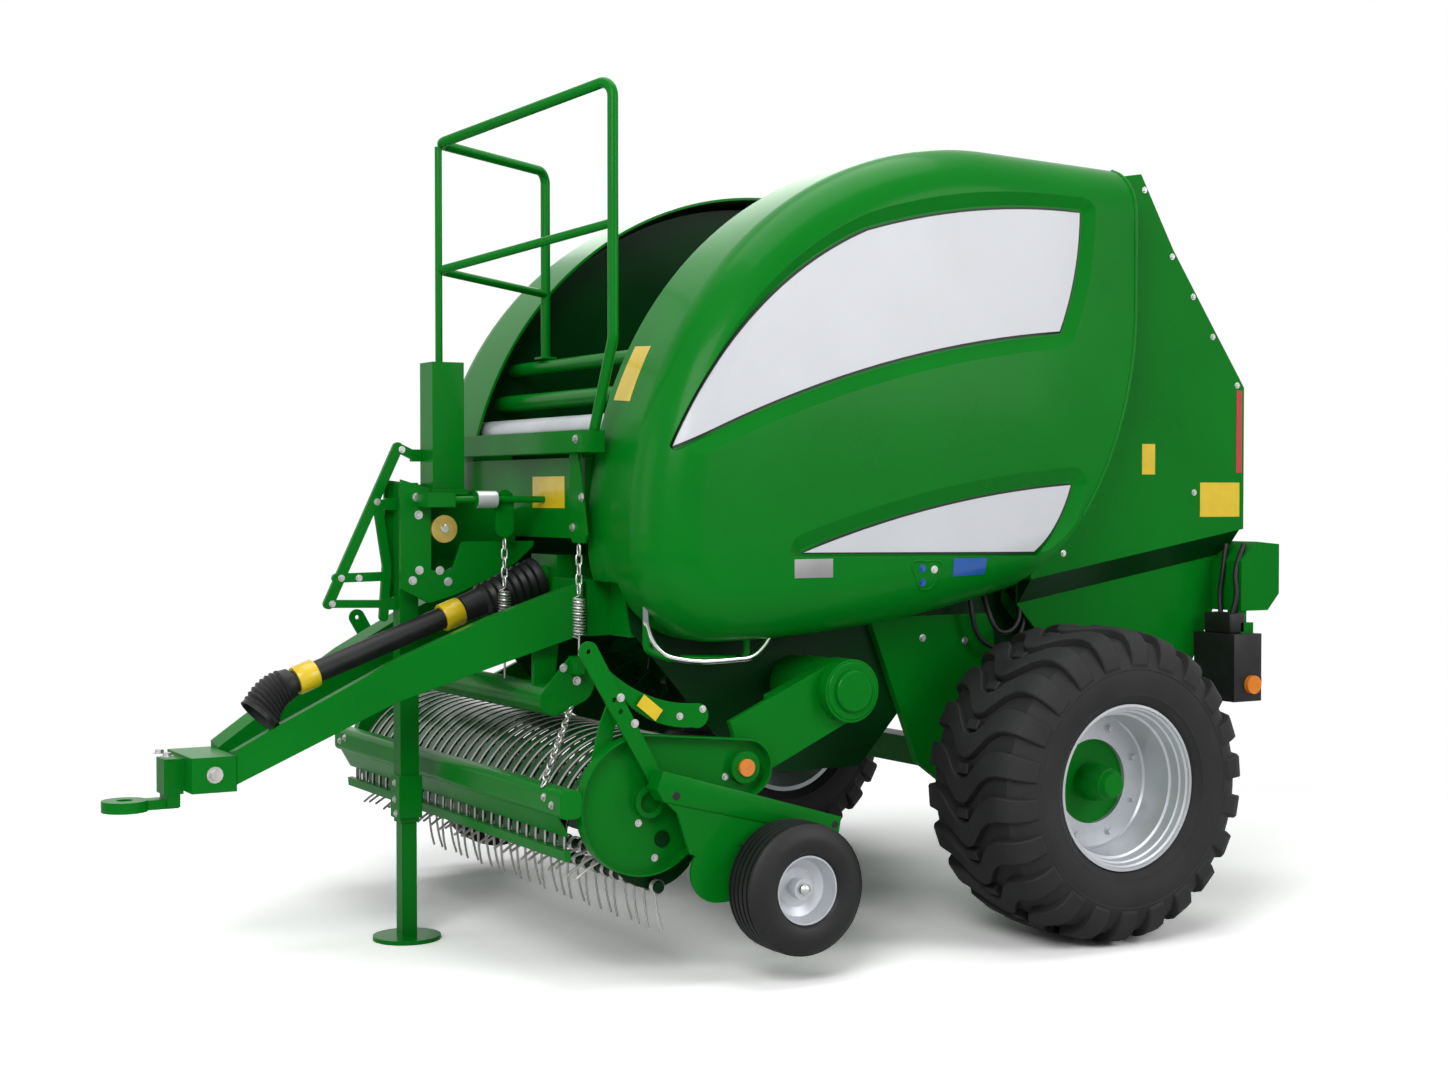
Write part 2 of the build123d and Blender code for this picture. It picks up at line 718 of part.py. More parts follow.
gauge_axis = Axis((gauge_x, gauge_y, gauge_z), (0, 1, 0))
gauge_bead = gauge_rim_radius + fit_gap
with BuildPart() as gauge_tyre:
    with BuildSketch(section_plane(gauge_x, gauge_y, gauge_z)):
        with BuildLine():
            Polyline((0, gauge_bead), (gauge_reach - 20, gauge_bead), (gauge_reach, gauge_rim_radius + 35),
                     (gauge_reach - 4, gauge_radius - 30), (gauge_reach - 25, gauge_radius - 5),
                     (0, gauge_radius))
            mirror(about=Plane.YZ)
        make_face()
    revolve(axis=gauge_axis)
keep(gauge_tyre, "gauge_tyre_left")
keep(mirrored(gauge_tyre), "gauge_tyre_right")

with BuildPart() as gauge_rim:
    with BuildSketch(section_plane(gauge_x, gauge_y, gauge_z)):
        with BuildLine():
            Polyline((15 - gauge_reach, gauge_rim_radius), (gauge_reach - 15, gauge_rim_radius),
                     (gauge_reach - 15, gauge_rim_radius - 5), (20, gauge_rim_radius - 18), (5, 60),
                     (5, 32), (45, 32),
                     (45, gauge_pin + fit_gap), (-55, gauge_pin + fit_gap), (-55, 32), (0, 32), (0, 60),
                     (-5, gauge_rim_radius - 18), (15 - gauge_reach, gauge_rim_radius - 5),
                     (15 - gauge_reach, gauge_rim_radius))
        make_face()
    revolve(axis=gauge_axis)
keep(gauge_rim, "gauge_rim_left")
keep(mirrored(gauge_rim), "gauge_rim_right")

# ---- front frame ----
notch_z = 1110
shaft_y = 60
with BuildPart() as front_beam:
    with Locations((1440, 0, notch_z)):
        Box(80, 2 * (wall_in - fit_gap), 180)
    with Locations(((1480 + front_x) / 2, 0, notch_z)):
        Box(front_x - 1480, 960, 180)
    with Locations((1490, shaft_y, notch_z + 50)):
        Box(200, 300, 100, mode=Mode.SUBTRACT)
keep(front_beam, "front_beam")

with BuildPart() as net_box:
    with Locations(((1330 + front_x) / 2, 0, 1460)):
        Box(front_x - 1330, 960, 260)
    with Locations((1300, 0, 1380)):
        Box(60, 2 * (wall_in - fit_gap), 60)
    with Locations((front_x + 5, 0, 1460)):
        Box(10, 960, 260)
keep(net_box, "net_box")

deck_z = 1603
deck_top = 1673
strap_x = 1606
strap_low = 1318
with BuildPart() as platform_beam:
    with Locations((front_x + 50, 0, (deck_z + deck_top) / 2)):
        Box(80, 1240, deck_top - deck_z)
    with BuildSketch(Plane.YZ.offset(strap_x)):
        Polygon((455, deck_z), (515, deck_z), (578, 1345), (560, strap_low), (480, strap_low), (441, 1350),
                align=None)
        mirror(about=Plane.YZ)
    extrude(amount=8)
    for side in (1, -1):
        with Locations((front_x - 60, side * 440, 1605)):
            Box(150, 60, 30)
keep(platform_beam, "platform_beam")

# cross tubes between the walls: (x, z, radius)
tube_table = ((1330, 1925, 24), (1375, 1800, 30), (1400, 1690, 32),
              (tail_hinge_x, tail_hinge_z, hinge_radius))
with BuildPart() as tubes:
    for x, z, radius in tube_table[:-1]:
        with BuildSketch(side_plane(wall_in - fit_gap)):
            with Locations((x, z)):
                Circle(radius)
        extrude(amount=2 * (wall_in - fit_gap))
    with BuildSketch(side_plane(tail_in + wall + 12)):
        with Locations((tail_hinge_x, tail_hinge_z)):
            Circle(hinge_radius)
    extrude(amount=2 * (tail_in + wall + 12))
keep(tubes, "cross_tubes")

hitch_y = 95
root_y = 430
beam_front = 2620
lean = atan2(root_y - hitch_y, beam_front - front_x)
root_low = 1025
knee_x = 1850
knee_low = 920


def beam_under(x, y):
    """Height just below the left drawbar beam's under edge, behind its knee."""
    aside = root_y - (x - front_x) * tan(lean) - y
    along = x - front_x + aside * sin(lean) * cos(lean)
    return root_low + (knee_low - root_low) * along / (knee_x - front_x) - fit_gap


lift_x = 1680
lift_z = 820
lift_radius = 50
hook_x = strap_x + 4
hook_top = 958
with BuildPart() as lift_tube:
    with BuildSketch(side_plane(470)):
        with Locations((lift_x, lift_z)):
            Circle(lift_radius)
    extrude(amount=940)
    hanger_y = 380
    rear, front = lift_x - 60, lift_x + 30
    hanger = [(rear, beam_under(rear, hanger_y - 8)), (front, beam_under(front, hanger_y - 8)),
              (front, lift_z),
              (lift_x - 40, lift_z)]
    add(slab(hanger, hanger_y - 8, hanger_y + 8).part)
    add(slab(hanger, -hanger_y - 8, 8 - hanger_y).part)
    with BuildSketch(side_plane(482)):
        add(tangent_hull([(lift_x, lift_z, lift_radius), (1603, 868, 62),
                          (hook_x, hook_top - 28, 28)]).sketch)
    extrude(amount=12)
    with Locations((hook_x, 498, hook_top - 28)):
        Box(30, 60, 56)
keep(lift_tube, "lift_tube")

# ---- drawbar ----
beam_shape = [(beam_front, 560), (beam_front, 665), (2470, 755), (2120, 955), (knee_x, 1080),
              (front_x, 1195), (front_x, root_low),
              (knee_x, knee_low), (2120, 820)]
beam_dir = Vector(cos(lean), -sin(lean), 0)
beam_plane = Plane(origin=(front_x, root_y, 0), x_dir=beam_dir, z_dir=(-sin(lean), -cos(lean), 0))
with BuildPart() as beam:
    with BuildSketch(beam_plane):
        Polygon(*[((x - front_x) / cos(lean), z) for x, z in beam_shape], align=None)
    extrude(amount=beam_width / 2, both=True)
    split(bisect_by=Plane(origin=(front_x, 0, 0), z_dir=(1, 0, 0)), keep=Keep.TOP)
    split(bisect_by=Plane(origin=(2600, 0, 0), z_dir=(1, 0, 0)), keep=Keep.BOTTOM)
keep(both_sides(beam), "drawbar_beams")

with BuildPart() as hitch:
    with Locations((2670, 0, 610)):
        Box(140, 2 * (hitch_y + 45), 110)
    with Locations((2770, 0, 600)):
        Box(60, 90, 110)
keep(hitch, "hitch_block")

with BuildPart() as eye:
    with Locations((eye_x, 0, eye_z)):
        Cylinder(eye_outer, eye_thick)
    with Locations(((2750 + eye_x) / 2, 0, eye_z)):
        Box(eye_x - 2750, 60, eye_thick - 4)
    with Locations((2770, 0, eye_z + 10)):
        Box(40, 90, 40)
    with Locations((eye_x, 0, eye_z)):
        Cylinder(eye_bore / 2, 2 * eye_thick, mode=Mode.SUBTRACT)
keep(eye, "tow_eye")

# ---- mast, jack and power shaft ----
jack_face = jack_x - jack_size / 2
bracket_low = -75
bracket_high = 87
bracket_sheet = 12
arch_shape = [(2040, 1520), (1800, mast_low), (1680, 1480), (front_x + 10, 1420), (front_x + 10, 1300),
              (1700, 1290),
              (1800, 1230), (1900, 1180), (2040, 1120)]
# the near plate has a stepped window in front of the lever's latch
low_shape = [(2043, 1166), (1945, 1117), (1850, 1142), (1720, 1198), (1635, 1243), (front_x + 10, 1300),
             (front_x + 10, 1316),
             (1829, 1316), (1863, 1224), (1940, 1224), (1940, mast_low), (2040, 1520)]
with BuildPart() as tower:
    add(slab(arch_shape, bracket_low, bracket_low + bracket_sheet).part)
    add(slab(low_shape, bracket_high - bracket_sheet, bracket_high).part)
    with Locations((mast_x, (bracket_low + bracket_high) / 2, mast_low - 10)):
        Box(mast_size + 20, bracket_high - bracket_low, 20)
    with Locations((jack_face - 6, (bracket_low + bracket_high) / 2, 1335)):
        Box(12, bracket_high - bracket_low, 290)
keep(tower, "tower_bracket")

with BuildPart() as mast:
    with Locations((mast_x, mast_y, (mast_low + mast_top) / 2)):
        Box(mast_size, mast_size, mast_top - mast_low)
    with Locations((mast_x, mast_y, (mast_low + mast_top) / 2 - 6)):
        Box(mast_size - 10, mast_size - 10, mast_top - mast_low, mode=Mode.SUBTRACT)
keep(mast, "mast")

sleeve_low = 390
sleeve_top = 1510
collar_size = 80
collar_z = 475
collar_length = 140
with BuildPart() as jack_tube:
    with Locations((jack_x, jack_y, (sleeve_low + sleeve_top) / 2)):
        Box(jack_size, jack_size, sleeve_top - sleeve_low)
        with Locations((0, 0, collar_z - (sleeve_low + sleeve_top) / 2)):
            Box(collar_size, collar_size, collar_length)
        Box(jack_inner + 2 * fit_gap, jack_inner + 2 * fit_gap, sleeve_top - sleeve_low, mode=Mode.SUBTRACT)
keep(jack_tube, "jack_tube")

leg_top = 900
with BuildPart() as jack_leg:
    with Locations((jack_x, jack_y, (foot_thick + leg_top) / 2)):
        Box(jack_inner, jack_inner, leg_top - foot_thick)
    with Locations((jack_x, jack_y, foot_thick / 2)):
        Cylinder(foot_radius, foot_thick)
keep(jack_leg, "jack_leg")

shaft_rear = Vector(1550, shaft_y + 3, 1192)
shaft_front = Vector(2540, 140, 840)
shaft_dir = (shaft_front - shaft_rear).normalized()
shaft_plane = Plane(origin=shaft_rear, z_dir=shaft_dir)
with BuildPart(shaft_plane) as power_shaft:
    Cylinder(36, 950, align=(Align.CENTER, Align.CENTER, Align.MIN))
    Cone(72, 45, 300, align=(Align.CENTER, Align.CENTER, Align.MIN))
    with Locations((0, 0, 930)):
        Cone(48, 70, 150, align=(Align.CENTER, Align.CENTER, Align.MIN))
keep(power_shaft, "power_shaft")

with BuildPart() as gearbox:
    with Locations((1450, shaft_y, notch_z + fit_gap + 80)):
        Box(140, 200, 160)
    with BuildSketch(shaft_plane.offset(-fit_gap)):
        Circle(30)
    extrude(amount=-60)
keep(gearbox, "gearbox")

# ---- hose holder ahead of the mast ----
holder_low = jack_y - 8
holder_high = jack_y + 8
tube_face = jack_x + jack_size / 2
# bars of the holder: start and end (x, z), half width
holder_bars = (((2007, 1626), (2246, 1117), 17), ((2077, 1440), (2046, 1240), 15),
               ((2046, 1240), (2058, 1070), 15),
               ((2218, 1200), (2046, 1203), 15), ((2238, 1117), (2046, 1112), 13),
               ((2077, 1440), (2040, 1440), 15),
               ((2007, 1626), (1950, 1600), 15))
with BuildPart() as holder:
    with BuildSketch(side_plane(holder_high)):
        for (x1, z1), (x2, z2), reach in holder_bars:
            add(tangent_hull([(x1, z1, reach), (x2, z2, reach)]).sketch)
        for z in (1440, 1112):
            with Locations((tube_face + 20, z)):
                Rectangle(40, 40)
        with Locations((mast_x + mast_size / 2 + 18, 1600)):
            Rectangle(36, 40)
        with Locations((mast_x, 1600)):
            Rectangle(mast_size, 60, mode=Mode.SUBTRACT)
    extrude(amount=holder_high - holder_low)
keep(holder, "hose_holder")

# ---- rest lever on the tower: latch block, damper, hanging strap and brass wheel ----
lever_y = 172
lever_z = 1455
chain_x = 1709
chain_y = lever_y - 12
damper_x = 1742
disc_out = bracket_high + 15
with BuildPart() as lever:
    add(slab([(1985, 1475), (1890, 1475), (1890, 1430), (1985, 1430)], bracket_high + fit_gap,
             lever_y + 12).part)
    for start, end, radius in ((front_x + 10 + fit_gap, 1900, 11), (damper_x, damper_x + 76, 27)):
        with BuildSketch(Plane.YZ.offset(start)):
            with Locations((lever_y, lever_z)):
                Circle(radius)
        extrude(amount=end - start)
    with BuildSketch(side_plane(chain_y + 4)):
        add(tangent_hull([(chain_x, lever_z, 32), (chain_x, lever_z - 93, 32)]).sketch)
    extrude(amount=8)
keep(lever, "rest_lever")

with BuildPart() as brass:
    rod_end = bracket_low + bracket_sheet + fit_gap
    for start, end, radius in ((disc_out, disc_out - 14, 45), (disc_out - 14, rod_end, 12)):
        with BuildSketch(side_plane(start)):
            with Locations((1896, 1359)):
                Circle(radius)
        extrude(amount=start - end)
keep(brass, "tower_wheel")

# ---- chains and springs ----
link_length = 44
link_width = 26
link_wire = 7
link_pitch = link_length - 2 * link_wire + 1


def chain_links(start, end):
    """Welded chain pulled straight from start to end."""
    along = (end - start).normalized()
    across = along.cross(Vector(0, 1, 0.2)).normalized()
    count = round(((end - start).length - link_length) / link_pitch) + 1
    with BuildPart() as chain:
        for index in range(count):
            middle = start + along * (link_length / 2 + index * link_pitch)
            facing = across.rotate(Axis((0, 0, 0), along), 90 * (index % 2))
            with BuildSketch(Plane(origin=middle, x_dir=along, z_dir=facing)):
                Rectangle(link_length, link_width)
                Rectangle(link_length - 2 * link_wire, link_width - 2 * link_wire, mode=Mode.SUBTRACT)
            extrude(amount=link_wire / 2, both=True)
    return chain.part, start + along * (link_length + (count - 1) * link_pitch)


spring_radius = 22
spring_length = 136
wire_radius = 5


def chain_and_spring(x, y, top, bottom):
    """Chain that hangs straight down to a spring, whose wire ends at the bottom."""
    part, end = chain_links(Vector(x, y, top), Vector(x, y, top - 165))
    spring_top = end.Z + 1
    coils = 3
    pitch = spring_length / coils
    with BuildPart() as hanging:
        add(part)
        with BuildSketch(Plane(origin=(x, y, 0), x_dir=(1, 0, 0), z_dir=(0, -1, 0))):
            with BuildLine():
                outline = [(0, spring_top)]
                for coil in range(coils):
                    outline += [(spring_radius - 6, spring_top - coil * pitch),
                                (spring_radius, spring_top - (coil + 0.5) * pitch)]
                outline += [(spring_radius - 6, spring_top - spring_length),
                            (wire_radius, spring_top - spring_length),
                            (wire_radius, bottom), (0, bottom)]
                Polyline(*outline, close=True)
            make_face()
        revolve(axis=Axis((x, y, 0), (0, 0, 1)))
    return hanging.part


with BuildPart() as hangers:
    hook_rise = sqrt(lift_radius ** 2 - (chain_x - wire_radius - lift_x) ** 2)
    add(chain_and_spring(chain_x, chain_y, lever_z - 125 - fit_gap, lift_z + hook_rise + fit_gap))
    add(chain_and_spring(hook_x, 515, strap_low - fit_gap, hook_top + fit_gap))
keep(hangers, "lift_chains")

guard_hook = Vector(1893, 850, 606.6)
with BuildPart() as pickup_chain:
    add(chain_links(guard_hook, Vector(1630, 500, 800))[0])
keep(pickup_chain, "pickup_chain")

# ---- guard rail ----
rail_radius = 17
with BuildPart() as rail:
    with BuildLine() as path:
        FilletPolyline((1600, 590, deck_top - 30), (1600, 735, 1950), (1600, 735, 2742),
                       (1880, mast_y, 2623),
                       (1330, -330, 2620), (1330, -330, 1955), radius=45)
    with BuildSketch(Plane(origin=path.line @ 0, z_dir=path.line % 0)):
        Circle(rail_radius)
    sweep(path=path.line)
    with BuildLine() as middle:
        FilletPolyline((1600, 735, 2304), (1880, mast_y, 2208), (1330, -330, 2185), radius=45)
    with BuildSketch(Plane(origin=middle.line @ 0, z_dir=middle.line % 0)):
        Circle(rail_radius - 3)
    sweep(path=middle.line)
    with BuildSketch(Plane.XY.offset(mast_top)):
        with Locations((1880, mast_y)):
            Circle(12)
    extrude(amount=2623 - mast_top - 10)
    with Locations((1330, -330, 1957)):
        Box(60, 60, 8)
    split(bisect_by=Plane.XY.offset(deck_top), keep=Keep.TOP)
keep(rail, "guard_rail")
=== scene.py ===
import math
import bmesh
import bpy
from mathutils import Matrix, Vector


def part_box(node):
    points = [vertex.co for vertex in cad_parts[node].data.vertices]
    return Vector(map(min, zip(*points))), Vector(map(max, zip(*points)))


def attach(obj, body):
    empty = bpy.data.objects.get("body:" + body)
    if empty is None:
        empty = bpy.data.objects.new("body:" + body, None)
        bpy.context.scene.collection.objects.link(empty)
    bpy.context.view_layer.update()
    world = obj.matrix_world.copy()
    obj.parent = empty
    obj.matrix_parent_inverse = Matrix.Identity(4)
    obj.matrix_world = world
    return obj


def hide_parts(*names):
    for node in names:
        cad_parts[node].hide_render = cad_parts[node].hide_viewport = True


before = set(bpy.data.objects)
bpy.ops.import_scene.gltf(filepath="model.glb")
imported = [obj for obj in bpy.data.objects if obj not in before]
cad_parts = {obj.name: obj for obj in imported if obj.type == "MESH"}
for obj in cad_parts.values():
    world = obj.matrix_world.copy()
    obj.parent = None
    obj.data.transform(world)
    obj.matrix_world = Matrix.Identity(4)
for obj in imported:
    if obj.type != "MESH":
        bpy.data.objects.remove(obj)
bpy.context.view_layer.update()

print("frame loaded:", len(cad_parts), "nodes")

# camera, light and floor
camera = {"place": (3.5231, 6.4281, 1.4749), "yaw": 0.5224, "down": 0.0239, "lens": 51.61, "sensor": 36}
cameraData = bpy.data.cameras.new("camera")
cameraData.lens = camera["lens"]
cameraData.sensor_width = camera["sensor"]
cameraObject = bpy.data.objects.new("camera", cameraData)
cameraObject.location = camera["place"]
cameraObject.rotation_euler = (math.pi / 2 - camera["down"], 0, math.pi - camera["yaw"])
bpy.context.scene.collection.objects.link(cameraObject)
bpy.context.scene.camera = cameraObject
bpy.context.scene.view_settings.view_transform = "Standard"

lamps = {  # place, target, size, watts
    "keyLamp": ((4.2, 4.6, 4.6), (0.0, 0.2, 1.0), 3.0, 215),
    "sideLamp": ((-3.2, 6.0, 3.4), (-0.4, 0.2, 1.1), 3.0, 118),
    "topLamp": ((-0.2, 0.3, 6.0), (-0.2, 0.2, 0.0), 4.0, 150),
    "frontLamp": ((6.4, -0.6, 2.6), (0.4, 0.0, 0.9), 2.6, 34),
    "backLamp": ((-3.0, -5.5, 4.0), (0.0, 0.0, 1.0), 3.5, 95),
}
for name, (place, target, size, watts) in lamps.items():
    lampData = bpy.data.lights.new(name, "AREA")
    lampData.size = size
    lampData.energy = watts
    lamp = bpy.data.objects.new(name, lampData)
    lamp.location = place
    lamp.rotation_euler = (Vector(target) - Vector(place)).to_track_quat("-Z", "Y").to_euler()
    bpy.context.scene.collection.objects.link(lamp)

worldLight = {"grey": 0.82, "strength": 0.26, "seen": 1.0}
world = bpy.data.worlds.new("studio")
bpy.context.scene.world = world
world.use_nodes = True
worldNodes = world.node_tree.nodes
soft = worldNodes["Background"]
soft.inputs["Color"].default_value = (worldLight["grey"],) * 3 + (1,)
soft.inputs["Strength"].default_value = worldLight["strength"]
seen = worldNodes.new("ShaderNodeBackground")
seen.inputs["Color"].default_value = (1, 1, 1, 1)
seen.inputs["Strength"].default_value = worldLight["seen"]
ray = worldNodes.new("ShaderNodeLightPath")
pick = worldNodes.new("ShaderNodeMixShader")
seenBy = ray.outputs["Is Camera Ray"]
for way in ("Is Glossy Ray", "Is Transmission Ray"):
    either = worldNodes.new("ShaderNodeMath")
    either.operation = "MAXIMUM"
    world.node_tree.links.new(seenBy, either.inputs[0])
    world.node_tree.links.new(ray.outputs[way], either.inputs[1])
    seenBy = either.outputs[0]
world.node_tree.links.new(seenBy, pick.inputs[0])
world.node_tree.links.new(soft.outputs[0], pick.inputs[1])
world.node_tree.links.new(seen.outputs[0], pick.inputs[2])
world.node_tree.links.new(pick.outputs[0], worldNodes["World Output"].inputs[0])


# finishes
finishes = {
    "greenPaint": {"colour": (0.0005, 0.185, 0.0105), "drift": 0.07, "patch": 2.2,
                   "rough": (0.24, 0.34), "grain": 260, "bump": 0.012, "coat": 0.05, "edge": 0.004,
                   "spec": 0.08},
    # painted shade: the machine's green darkened to stand for the shade on the frame walls, rollers, feed
    # rotor, reel frame and tail belt
    "paintedShadeGreen": {"colour": (0.0005, 0.034, 0.0045), "drift": 0.16, "patch": 3.0, "rough": (0.30, 0.42),
                  "grain": 220, "bump": 0.02, "spec": 0.12},
    "palePaint": {"colour": (0.66, 0.675, 0.71), "drift": 0.03, "patch": 3.0, "rough": (0.26, 0.34),
                  "grain": 400, "bump": 0.006, "coat": 0.1, "spec": 0.3},
    "bandPaint": {"colour": (0.004, 0.075, 0.012), "drift": 0.2, "patch": 8.0, "rough": (0.22, 0.34),
                  "grain": 420, "bump": 0.02, "metal": 0.5, "spec": 0.4},
    "silverPaint": {"colour": (0.58, 0.60, 0.63), "drift": 0.08, "patch": 6.0, "rough": (0.30, 0.42),
                    "grain": 500, "bump": 0.02, "metal": 0.45},
    "tyreRubber": {"colour": (0.018, 0.018, 0.0185), "drift": 0.35, "patch": 5.0, "rough": (0.58, 0.78),
                   "grain": 320, "bump": 0.12, "spec": 0.3},
    "wheelRubber": {"colour": (0.0085, 0.0085, 0.009), "drift": 0.3, "patch": 8.0,
                    "rough": (0.42, 0.58), "grain": 420, "bump": 0.06, "spec": 0.35},
    "blackPlastic": {"colour": (0.013, 0.013, 0.014), "drift": 0.25, "patch": 9.0,
                     "rough": (0.36, 0.52), "grain": 600, "bump": 0.06, "spec": 0.3},
    "bareSteel": {"colour": (0.36, 0.36, 0.35), "drift": 0.22, "patch": 14.0, "rough": (0.26, 0.48),
                  "grain": 380, "bump": 0.04, "metal": 0.9},
    "springSteel": {"colour": (0.56, 0.545, 0.52), "drift": 0.10, "patch": 30.0, "rough": (0.30, 0.42),
                    "grain": 600, "bump": 0.02, "metal": 0.35},
    "brightZinc": {"colour": (0.62, 0.62, 0.60), "drift": 0.14, "patch": 20.0, "rough": (0.24, 0.40),
                   "grain": 700, "bump": 0.03, "metal": 0.9},
    "chrome": {"colour": (0.78, 0.78, 0.78), "drift": 0.03, "patch": 8.0, "rough": (0.06, 0.12),
               "grain": 400, "bump": 0.004, "metal": 1.0},
    "brass": {"colour": (0.62, 0.44, 0.12), "drift": 0.12, "patch": 20.0, "rough": (0.24, 0.38),
              "grain": 500, "bump": 0.03, "metal": 0.85},
    "amberLens": {"colour": (0.85, 0.24, 0.010), "drift": 0.08, "patch": 30.0, "rough": (0.12, 0.2),
                  "grain": 900, "bump": 0.05, "coat": 0.6},
    "redLens": {"colour": (0.45, 0.012, 0.008), "drift": 0.08, "patch": 30.0, "rough": (0.12, 0.2),
                "grain": 900, "bump": 0.05, "coat": 0.6},
    "yellowPlate": {"colour": (0.80, 0.56, 0.010), "drift": 0.05, "patch": 20.0, "rough": (0.28, 0.36),
                    "grain": 800, "bump": 0.01, "coat": 0.3},
    "bluePlate": {"colour": (0.012, 0.10, 0.42), "drift": 0.05, "patch": 30.0, "rough": (0.28, 0.36),
                  "grain": 800, "bump": 0.01, "coat": 0.3},
    "whiteMark": {"colour": (0.72, 0.72, 0.70), "drift": 0.04, "patch": 30.0, "rough": (0.3, 0.4),
                  "grain": 800, "bump": 0.01},
}
surface = {"coatRough": 0.08, "patchDetail": 4, "grainDetail": 3, "stops": (0.32, 0.68), "bumpDepth": 0.004,
           "edgeSamples": 6}
materials = {}


def makeFinish(name):
    look = finishes[name]
    material = bpy.data.materials.new(name)
    material.use_nodes = True
    nodes, links = material.node_tree.nodes, material.node_tree.links
    shader = nodes["Principled BSDF"]
    shader.inputs["Metallic"].default_value = look.get("metal", 0)
    shader.inputs["Specular IOR Level"].default_value = look.get("spec", 0.5)
    shader.inputs["Coat Weight"].default_value = look.get("coat", 0)
    shader.inputs["Coat Roughness"].default_value = surface["coatRough"]
    place = nodes.new("ShaderNodeTexCoord")
    patch = nodes.new("ShaderNodeTexNoise")
    patch.inputs["Scale"].default_value = look["patch"]
    patch.inputs["Detail"].default_value = surface["patchDetail"]
    links.new(place.outputs["Object"], patch.inputs["Vector"])
    ramp = nodes.new("ShaderNodeValToRGB")
    gains = (1 - look["drift"], 1 + look["drift"])
    for stop, share, gain in zip(ramp.color_ramp.elements, surface["stops"], gains):
        stop.position = share
        stop.color = tuple(min(1, channel * gain) for channel in look["colour"]) + (1,)
    links.new(patch.outputs["Fac"], ramp.inputs["Fac"])
    links.new(ramp.outputs["Color"], shader.inputs["Base Color"])
    spread = nodes.new("ShaderNodeMapRange")
    spread.inputs["To Min"].default_value = look["rough"][0]
    spread.inputs["To Max"].default_value = look["rough"][1]
    links.new(patch.outputs["Fac"], spread.inputs["Value"])
    links.new(spread.outputs["Result"], shader.inputs["Roughness"])
    grain = nodes.new("ShaderNodeTexNoise")
    grain.inputs["Scale"].default_value = look["grain"]
    grain.inputs["Detail"].default_value = surface["grainDetail"]
    links.new(place.outputs["Object"], grain.inputs["Vector"])
    bump = nodes.new("ShaderNodeBump")
    bump.inputs["Strength"].default_value = look["bump"]
    bump.inputs["Distance"].default_value = surface["bumpDepth"]
    links.new(grain.outputs["Fac"], bump.inputs["Height"])
    if look.get("edge"):
        rounded = nodes.new("ShaderNodeBevel")  # softens sharp edges of the plain solids
        rounded.samples = surface["edgeSamples"]
        rounded.inputs["Radius"].default_value = look["edge"]
        links.new(rounded.outputs["Normal"], bump.inputs["Normal"])
    links.new(bump.outputs["Normal"], shader.inputs["Normal"])
    materials[name] = material


for name in finishes:
    makeFinish(name)

# finish of each solid, by its name without its side; the others are green
nodeFinish = {"tyre": "tyreRubber", "gauge_tyre": "wheelRubber", "rim": "silverPaint",
              "gauge_rim": "silverPaint", "pickup_bands": "brightZinc", "pickup_reel": "brightZinc",
              # chamber rollers, tail rollers, frame walls and feed rotor take the green with painted shade
              "tail_lamps": "amberLens", "power_shaft": "blackPlastic", "chamber_rollers": "paintedShadeGreen",
              "tail_rollers": "paintedShadeGreen", "frame_walls": "paintedShadeGreen", "feed_rotor": "paintedShadeGreen",
              "door_hinges": "bareSteel", "door_panels": "palePaint", "side_reflectors": "amberLens",
              "tower_wheel": "brass", "lift_chains": "brightZinc", "pickup_chain": "brightZinc"}
for name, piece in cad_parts.items():
    stem = name.replace("_left", "").replace("_right", "")
    piece.data.materials.clear()
    piece.data.materials.append(materials[nodeFinish.get(stem, "greenPaint")])
    for face in piece.data.polygons:
        face.material_index = 0
print("finishes made:", len(materials))

# floor: pale round the machine, plain white beyond the fade
floorLook = {"half": 40, "colour": 0.8, "rough": 0.9, "fade": (2.9, 4.8)}
floorColour = (floorLook["colour"],) * 3 + (1,)
floorData = bpy.data.meshes.new("floor")
floorMesh = bmesh.new()
bmesh.ops.create_grid(floorMesh, x_segments=1, y_segments=1, size=floorLook["half"])
floorMesh.to_mesh(floorData)
floorMesh.free()
floor = bpy.data.objects.new("floor", floorData)
bpy.context.scene.collection.objects.link(floor)
floorPaint = bpy.data.materials.new("floorPaint")
floorPaint.use_nodes = True
floorNodes, floorLinks = floorPaint.node_tree.nodes, floorPaint.node_tree.links
plainFloor = floorNodes["Principled BSDF"]
plainFloor.inputs["Base Color"].default_value = floorColour
plainFloor.inputs["Roughness"].default_value = floorLook["rough"]
paleFloor = floorNodes.new("ShaderNodeAddShader")
for layer in range(2):
    matt = floorNodes.new("ShaderNodeBsdfDiffuse")
    matt.inputs["Color"].default_value = floorColour
    floorLinks.new(matt.outputs[0], paleFloor.inputs[layer])
floorRay = floorNodes.new("ShaderNodeLightPath")
floorPick = floorNodes.new("ShaderNodeMixShader")
floorLinks.new(floorRay.outputs["Is Camera Ray"], floorPick.inputs[0])
floorLinks.new(plainFloor.outputs[0], floorPick.inputs[1])
floorPlace = floorNodes.new("ShaderNodeTexCoord")
floorReach = floorNodes.new("ShaderNodeVectorMath")
floorReach.operation = "LENGTH"
floorLinks.new(floorPlace.outputs["Object"], floorReach.inputs[0])
floorFade = floorNodes.new("ShaderNodeMapRange")
floorFade.interpolation_type = "SMOOTHSTEP"
floorFade.inputs["From Min"].default_value = floorLook["fade"][0]
floorFade.inputs["From Max"].default_value = floorLook["fade"][1]
floorLinks.new(floorReach.outputs["Value"], floorFade.inputs["Value"])
farFloor = floorNodes.new("ShaderNodeEmission")
